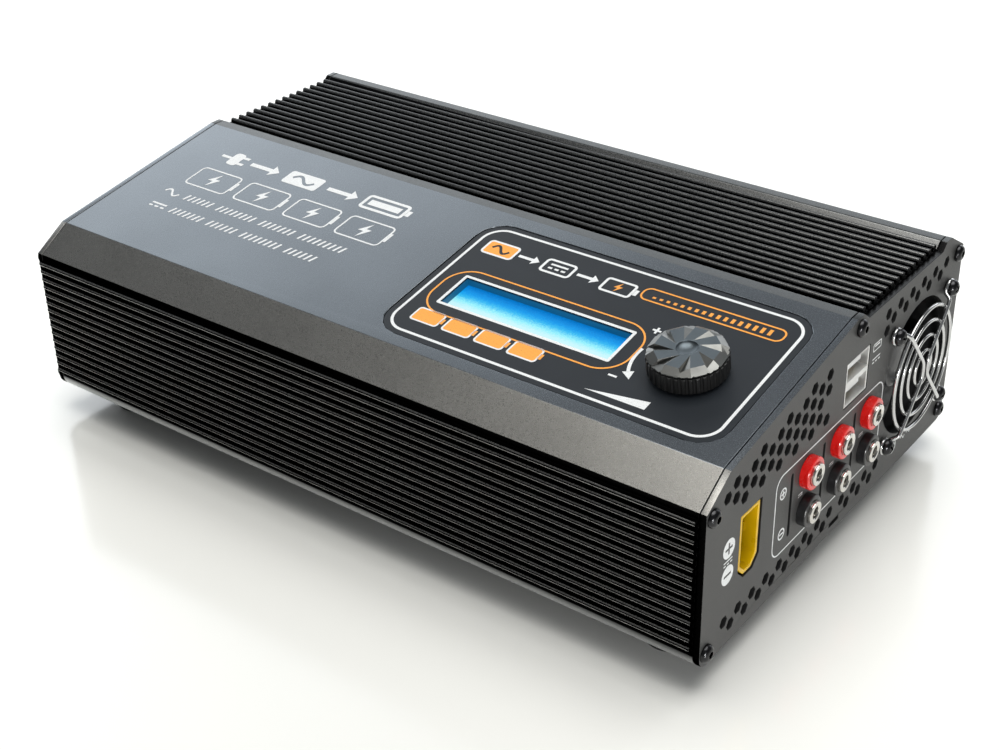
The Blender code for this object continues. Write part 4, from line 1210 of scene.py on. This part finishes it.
def knob_cap():
    """A flat top cut by eight leaning recesses like a pinwheel, with a bevelled rim and a round dimple."""
    shape = bmesh.new()
    sectors, inner, outer, rim = 8, 3.7, 9.5, 11.85
    floor, depth, swirl = CAP_LOW, 1.35, -9.0

    def eight(radius, degrees, height):
        spots = [polar(radius * MM, degrees + 360 / sectors * k) for k in range(sectors)]
        return [shape.verts.new((*spot, height * MM)) for spot in spots]

    hub = eight(inner, 0.0, CAP_HIGH)
    start = eight(outer, swirl, CAP_HIGH)
    end = eight(outer, swirl + 26.0, CAP_HIGH)
    sunk = eight(outer + 0.35, swirl + 27.5, CAP_HIGH - depth)
    rim_start = eight(rim, swirl, floor + 0.45)
    rim_end = eight(rim, swirl + 27.0, floor + 0.45)
    base_start = eight(rim, swirl, floor)
    base_end = eight(rim, swirl + 27.0, floor)
    dimple = eight(2.9, 3.0, CAP_HIGH - 0.1)
    bottom = shape.verts.new((0, 0, floor * MM))
    pit = shape.verts.new((0, 0, (CAP_HIGH - 0.5) * MM))
    for k in range(sectors):
        after = (k + 1) % sectors
        for corners in (
                (hub[k], start[k], end[k], hub[after]),
                (hub[after], sunk[k], start[after]),
                (hub[after], end[k], sunk[k]),
                (start[k], rim_start[k], rim_end[k], sunk[k], end[k]),
                (sunk[k], rim_end[k], rim_start[after], start[after]),
                (rim_start[k], base_start[k], base_end[k], rim_end[k]),
                (rim_end[k], base_end[k], base_start[after], rim_start[after]),
                (base_start[k], bottom, base_end[k]),
                (base_end[k], bottom, base_start[after]),
                (hub[k], hub[after], dimple[after], dimple[k]),
                (dimple[k], dimple[after], pit)):
            shape.faces.new(corners)
    return link("knob_cap_cut", finish_mesh(shape, "knob_cap_cut", 20.0), knob_place)


DIMPLE_RADIUS = 3.7
cap = knob_cap()
BALL_RADIUS, BALL_FLATTENED, BALL_TOP = 3.3, 0.42, 1.5
quarter = [polar(BALL_RADIUS, 7.5 * n) for n in range(1, 13)]
bowl = [(0, BALL_TOP - BALL_RADIUS * BALL_FLATTENED)]
bowl += [(out, BALL_TOP - BALL_FLATTENED * up) for up, out in quarter]
dimple_tool = lathe("knob_dimple", bowl + [(0, BALL_TOP)], knob_place @ move(0, 0, CAP_HIGH - 1.3), 64)
cap = cut(cap, [dimple_tool, flute_tool])
cap = bevelled(cap, 0.09, 2, 12.0, 25.0)
piece(cap, KNOB_METAL, "knob_cap")
cap.data.materials.append(KNOB_LAND)
for face in cap.data.polygons:
    in_dimple = Vector(face.center[:2]).length < DIMPLE_RADIUS * MM
    face.material_index = int(face.normal.z > 0.995 or in_dimple)

shaft_profile = [(0, 5.9), (2.6, 5.9), (3.0, 5.5), (3.0, -15.6), (0, -15.6)]
piece(lathe("potentiometer_shaft_turned", shaft_profile, knob_place, 48), STEEL, "potentiometer_shaft")


# High-current output socket

socket_spot = panel_spot("dc_output_socket")
SOCKET_SIZE = (10.8, 21.2)
SOCKET_WALL = 1.1
SOCKET_DEPTH, SOCKET_FLOOR = 22.0, 17.0
PIN_PITCH = 10.0
inner_size = (SOCKET_SIZE[0] - 2 * SOCKET_WALL, SOCKET_SIZE[1] - 2 * SOCKET_WALL)
socket_outer = chamfered_socket(socket_spot, SOCKET_SIZE, 3.2)
socket_inner = chamfered_socket(socket_spot, inner_size, 2.8)
pin_spots = [(socket_spot[0], socket_spot[1] + k * PIN_PITCH / 2) for k in (1, -1)]
socket_walls = bevelled(
    plate("dc_socket_walls", [socket_outer, socket_inner], -SOCKET_DEPTH, -0.3, output_frame()), 0.3, 3)
socket_floor = plate(
    "dc_socket_floor", [socket_inner] + [circle(pin, 2.5, 32) for pin in pin_spots], -SOCKET_DEPTH,
    -SOCKET_FLOOR, output_frame())
ribs = []
for n, side in enumerate((-1, 1)):
    rib_x = socket_spot[0] + side * (inner_size[0] / 2 - 0.15)
    place = output_frame(rib_x, socket_spot[1] + 0.4, 11.4 - SOCKET_DEPTH)
    ribs.append(box(f"dc_socket_rib_{n}", (0.5, 3.0, 13.0), place, 0.1))
housing = joined("dc_output_socket_moulded", [socket_walls, socket_floor] + ribs)
piece(housing, YELLOW_NYLON_PAINTED_SHADE, "dc_output_socket")
for pin_node, (u, v) in zip(("dc_output_pin_positive", "dc_output_pin_negative"), pin_spots):
    profile = [(0, -6.7), (1.5, -6.5), (2.0, -6.8), (2.2, -7.4), (2.2, -27.8), (1.8, -28.0), (0, -28.0)]
    pin = lathe(pin_node + "_turned", profile, output_frame(u, v), 48)
    slits = [
        box(f"{pin_node}_slit_{way}", (6.0, 0.5, 14.0), output_frame(u, v, -9.0) @ turn(way, "Z"))
        for way in (0, 90)]
    piece(bevelled(cut(pin, slits), 0.08, 2, 50.0), GOLD, pin_node)


# Banana sockets

COLLAR_RADIUS, COLLAR_HEIGHT = 5.15, 3.0
SLEEVE_RADIUS, SLEEVE_HEIGHT, BORE_RADIUS = 3.55, 4.1, 1.95
collar_profile = [
    (SLEEVE_RADIUS + 0.05, COLLAR_HEIGHT - 0.25), (SLEEVE_RADIUS + 0.3, COLLAR_HEIGHT), (4.75, COLLAR_HEIGHT),
    (5.0, COLLAR_HEIGHT - 0.08), (COLLAR_RADIUS, COLLAR_HEIGHT - 0.32), (COLLAR_RADIUS, 0.25), (5.05, 0.06),
    (4.15, 0.05), (4.15, -4.0), (SLEEVE_RADIUS + 0.05, -4.0)]
sleeve_profile = [
    (BORE_RADIUS, SLEEVE_HEIGHT - 0.35), (BORE_RADIUS + 0.3, SLEEVE_HEIGHT),
    (SLEEVE_RADIUS - 0.45, SLEEVE_HEIGHT), (SLEEVE_RADIUS - 0.15, SLEEVE_HEIGHT - 0.12),
    (SLEEVE_RADIUS, SLEEVE_HEIGHT - 0.42), (SLEEVE_RADIUS, -4.2), (3.25, -4.3), (3.25, -16.0),
    (BORE_RADIUS, -16.0)]
plug_profile = [(0, -13.0), (BORE_RADIUS + 0.1, -13.0), (BORE_RADIUS + 0.1, -15.9), (0, -15.9)]
SPRING_RADIUS = 0.82
spring_path = arc((0, SPRING_RADIUS), SPRING_RADIUS, 20.0, 270.0, 20)
spring_path += arc((0, -SPRING_RADIUS), SPRING_RADIUS, 90.0, -160.0, 20)[1:]
for colour, plastic in (("red", RED_PLASTIC), ("black", BLACK_PLASTIC)):
    for column in range(1, 4):
        collar_node = f"{colour}_socket_{column}"
        sleeve_node = f"{colour}_socket_sleeve_{column}"
        place = output_frame(*panel_spot(collar_node))
        piece(lathe(collar_node + "_turned", collar_profile, place, 72), plastic, collar_node)
        sleeve_parts = [
            lathe(sleeve_node + "_turned", sleeve_profile, place, 72),
            lathe(sleeve_node + "_plug", plug_profile, place, 32),
            plate(sleeve_node + "_spring", stroke(spring_path, 0.34), -12.0, 2.9, place)]
        piece(joined(sleeve_node + "_finished", sleeve_parts), NICKEL, sleeve_node)


# USB sockets

usb_spot = panel_spot("usb_shell")
piece(polished("usb_shell", 0.14), PORT_STEEL, "usb_shell")
piece(polished("usb_insulator", 0.14), WHITE_NYLON, "usb_insulator")
USB_PORT_OFFSET = 4.0
contacts = [
    box(f"usb_contact_{row}_{n}", (1.1, 0.12, 8.5),
        output_frame(usb_spot[0] + (n - 1.5) * 2.4, usb_spot[1] + row * USB_PORT_OFFSET - 1.06, -6.6), 0.04)
    for row in (-1, 1) for n in range(4)]
piece(joined("usb_contacts", contacts), GOLD)
springs = []
for row in (-1, 1):
    for side in (-1, 1):
        place = output_frame(usb_spot[0] + side * 3.4, usb_spot[1] + row * USB_PORT_OFFSET + 2.72, -4.4)
        springs.append(box(f"usb_leaf_{row}_{side}", (2.4, 0.22, 5.2), place @ turn(-6, "X"), 0.08))
piece(joined("usb_spring_leaves", springs), STEEL)


# Output panel print

def in_disc(x, y, radius, sign, pen):
    """A white disc with a plus or a minus left open."""
    mark = plus(x, y, radius * 1.24, pen) if sign == "plus" else bar(x, y, radius * 1.24, pen)
    return [[circle((x, y), radius, 40)] + mark]


def in_ring(x, y, radius, sign, pen):
    mark = plus(x, y, radius * 1.15, pen) if sign == "plus" else bar(x, y, radius * 1.15, pen)
    return [ring(x, y, radius, pen), mark]


def three_blades(x, y, radius, pen):
    """A fan sign: a ring with three blades."""
    shapes = [ring(x, y, radius, pen), [circle((x, y), radius * 0.16, 16)]]
    steps = [part / 12 for part in range(13)]
    blade = [(0.22 + 0.52 * t, 0.9 * t) for t in steps]
    blade += [
        (r, a - 0.85 * math.sin(math.pi * t / 2 + 0.35)) for t, (r, a) in reversed(list(zip(steps, blade)))]
    for k in range(3):
        spots = [polar(radius * r, math.degrees(a) + 120 * k) for r, a in blade]
        shapes.append([[(x + a, y + b) for a, b in spots]])
    return shapes


DISC_RADIUS, RING_RADIUS = 3.15, 1.95
panel_print = [frame_line((73.35, 27.45), (68.3, 28.1), 4.0, 0.45)]
panel_print += in_disc(13.2, 34.1, DISC_RADIUS, "plus", 0.8)
panel_print += in_disc(13.1, 25.2, DISC_RADIUS, "minus", 0.8)
panel_print += in_ring(43.6, 34.6, RING_RADIUS, "plus", 0.5)
panel_print += in_ring(44.2, 20.2, RING_RADIUS, "minus", 0.5)
panel_print += direct(13.0, 29.65, 4.6, 1.1, 0.4)
for column in range(1, 4):
    u, _ = panel_spot(f"red_socket_{column}")
    panel_print += direct(u - 3.3, 27.95, 2.6, 0.7, 0.26)
panel_print += [frame_line((99.6, 56.8), (5.2, 2.4), 0.4, 0.35), bar(99.6, 57.2, 3.4, 0.5)]
panel_print += direct(99.6, 52.2, 5.2, 1.2, 0.4)
panel_print += three_blades(121.0, 8.9, 2.5, 0.35)
panel_print += [sine(128.6 + 4.6 * n, 8.9, 3.2, 1.5, 0.4) for n in range(3)]
printed("output_panel_print", panel_print, WHITE_INK, output_frame())


# Mains inlet and power switch

inlet_spot = panel_spot("ac_inlet")
piece(polished("ac_inlet", 0.3, segments=3), BLACK_PLASTIC, "ac_inlet")
pins = [
    box(f"inlet_pin_{n}", (2.0, 4.0, 13.0), input_frame(*inlet_spot, -9.3) @ move(x, y, 0), 0.45, 3)
    for n, (x, y) in enumerate(((-7.0, -2.0), (7.0, -2.0), (0.0, 2.0)))]
piece(joined("inlet_pins", pins), NICKEL)
FLANGE_SCREW_OFFSET = 20.0
for n, side in enumerate((-1, 1)):
    place = input_frame(*inlet_spot) @ move(side * FLANGE_SCREW_OFFSET, 0, 0)
    head = lathe(
        f"inlet_screw_{n}",
        [(0, 3.42), (1.6, 3.36), (2.5, 3.2), (2.9, 3.02), (2.9, 2.9), (0, 2.9)], place, 40)
    slots = [
        box(f"inlet_screw_slot_{n}_{way}", (3.2, 0.7, 1.2), place @ move(0, 0, 3.4) @ turn(way, "Z"))
        for way in (30, 120)]
    piece(cut(head, slots), BLACK_STEEL)

piece(polished("switch_frame", 0.4, segments=3), BLACK_PLASTIC, "switch_frame")
piece(polished("switch_rocker", 0.45, segments=3), GLOSS_BLACK, "switch_rocker")
switch_spot = panel_spot("switch_frame")
ROCKER_PIVOT_DEPTH, ROCKER_RISE, ROCKER_HALF, ROCKER_TILT = 1.0, 4.0, 6.9, 7.0
rocker_place = input_frame(*switch_spot, -ROCKER_PIVOT_DEPTH) @ turn(90, "X") @ turn(ROCKER_TILT, "Z")
half_slope = math.degrees(math.atan2(1.0, ROCKER_HALF))
for side, name, shapes in (
        (1, "rocker_mark_on", [bar(0, 0, 0.7, 4.0)]),
        (-1, "rocker_mark_off", [ring(0, 0, 2.0, 0.65)])):
    middle = side * ROCKER_HALF * 0.52
    height = ROCKER_RISE - 1.0 + 0.52
    on_slope = rocker_place @ move(middle, height, 0) @ turn(side * half_slope, "Z")
    place = on_slope @ turn(-90, "X") @ turn(90, "Z")
    printed(name, shapes, WHITE_INK, place, "switch_rocker")

input_print = [frame_line((46.0, 28.0), (84.0, 36.0), 4.0, 0.45)]
input_print += [sine(32.0, 51.0, 9.0, 3.0, 0.6)]
input_print += [bar(71.0, 50.5, 0.7, 4.2), ring(77.0, 50.5, 2.1, 0.6)]
mirrored = [[[(-u, v) for u, v in loop] for loop in shape] for shape in input_print]
printed("input_panel_print", mirrored, WHITE_INK, input_frame())


# Studio

FLOOR_HALF = 5.0
FLOOR_GAP = 0.02
shape = bmesh.new()
bmesh.ops.create_grid(shape, x_segments=4, y_segments=4, size=FLOOR_HALF)
floor = link("studio_floor", finish_mesh(shape, "studio_floor"), move(0, 0, -FLOOR_GAP))
floor.data.materials.append(floor_white())

scene = bpy.context.scene
scene.view_settings.view_transform = "Standard"
scene.view_settings.look = "None"
world = bpy.data.worlds.new("studio_air")
scene.world = world
world.use_nodes = True
air = world.node_tree.nodes["Background"]
air.inputs["Color"].default_value = (0.92, 0.96, 1.0, 1.0)

# A pale backdrop low in the air behind the object, which the floor and the sloping face reflect
AIR, BACKDROP = 0.18, 2.1
BACKDROP_WAY = (-0.58, 0.81, 0.0)


sky = Nodes(world.node_tree)
way = sky.node("ShaderNodeTexCoord").outputs["Generated"]
facing = sky.node("ShaderNodeVectorMath", operation="DOT_PRODUCT")
sky.put(facing.inputs[0], way)
sky.put(facing.inputs[1], BACKDROP_WAY)
height = sky.part(way, "Z")
lower_edge = sky.span(height, 0.02, 0.12, 0.0, 1.0, "SMOOTHSTEP")
upper_edge = sky.span(height, 0.47, 0.73, 1.0, 0.0, "SMOOTHSTEP")
sides = sky.span(facing.outputs["Value"], 0.4, 0.75, 0.0, 1.0, "SMOOTHSTEP")
patch = sky.math("MULTIPLY", sky.math("MULTIPLY", lower_edge, upper_edge), sides)
sky.put(air.inputs["Strength"], sky.math("ADD", sky.math("MULTIPLY", patch, BACKDROP), AIR))


def lamp(name, kind, spot, aim, **settings):
    """A light at this place in metres, aimed at another."""
    data = bpy.data.lights.new(name, kind)
    for key, value in settings.items():
        setattr(data, key, value)
    facing_back = (Vector(spot) - Vector(aim)).to_track_quat("Z", "Y").to_matrix().to_4x4()
    link(name, data, Matrix.Translation(spot) @ facing_back)


def softbox(name, spot, size, radiance, colour):
    """A rectangular light aimed at the object, with this brightness of its face."""
    lamp(
        name, "AREA", spot, (0.0, 0.0, 0.05), shape="RECTANGLE", size=size[0], size_y=size[1],
        energy=radiance * math.pi * size[0] * size[1], color=colour)


softbox("top", (0.18, 0.12, 2.1), (1.7, 1.8), 4.5, (1.0, 0.99, 0.97))
softbox("back_left", (-1.5, 1.0, 1.25), (1.0, 1.0), 0.5, (0.92, 0.97, 1.0))
softbox("chamfer_glow", (-0.5, -0.32, 1.9), (0.6, 0.5), 2.2, (1.0, 0.97, 0.91))
lamp(
    "panel_glow", "SPOT", (0.52, -0.40, 0.09), (0.14, -0.05, 0.02), energy=6.0, spot_size=math.radians(34.0),
    spot_blend=1.0, shadow_soft_size=0.03)

camera_data = bpy.data.cameras.new("photo_camera")
CAMERA_AZIMUTH, CAMERA_ELEVATION, CAMERA_ROLL = math.radians(-54.5325), math.radians(29.4114), -0.1395
level = Vector((math.cos(CAMERA_AZIMUTH), math.sin(CAMERA_AZIMUTH), 0.0))
backward = level * math.cos(CAMERA_ELEVATION) + Vector((0, 0, math.sin(CAMERA_ELEVATION)))
right = Vector((0, 0, 1)).cross(backward).normalized()
upward = backward.cross(right)
camera_turn = Matrix((right, upward, backward)).transposed().to_4x4() @ turn(CAMERA_ROLL, "Z")
camera = link("photo_camera", camera_data, move(295.97, -377.15, 304.14) @ camera_turn)
camera_data.sensor_width = 36.0
camera_data.lens = 57.57
camera_data.shift_x = -0.05705
camera_data.shift_y = -0.0376
camera_data.clip_start = 0.01
scene.camera = camera
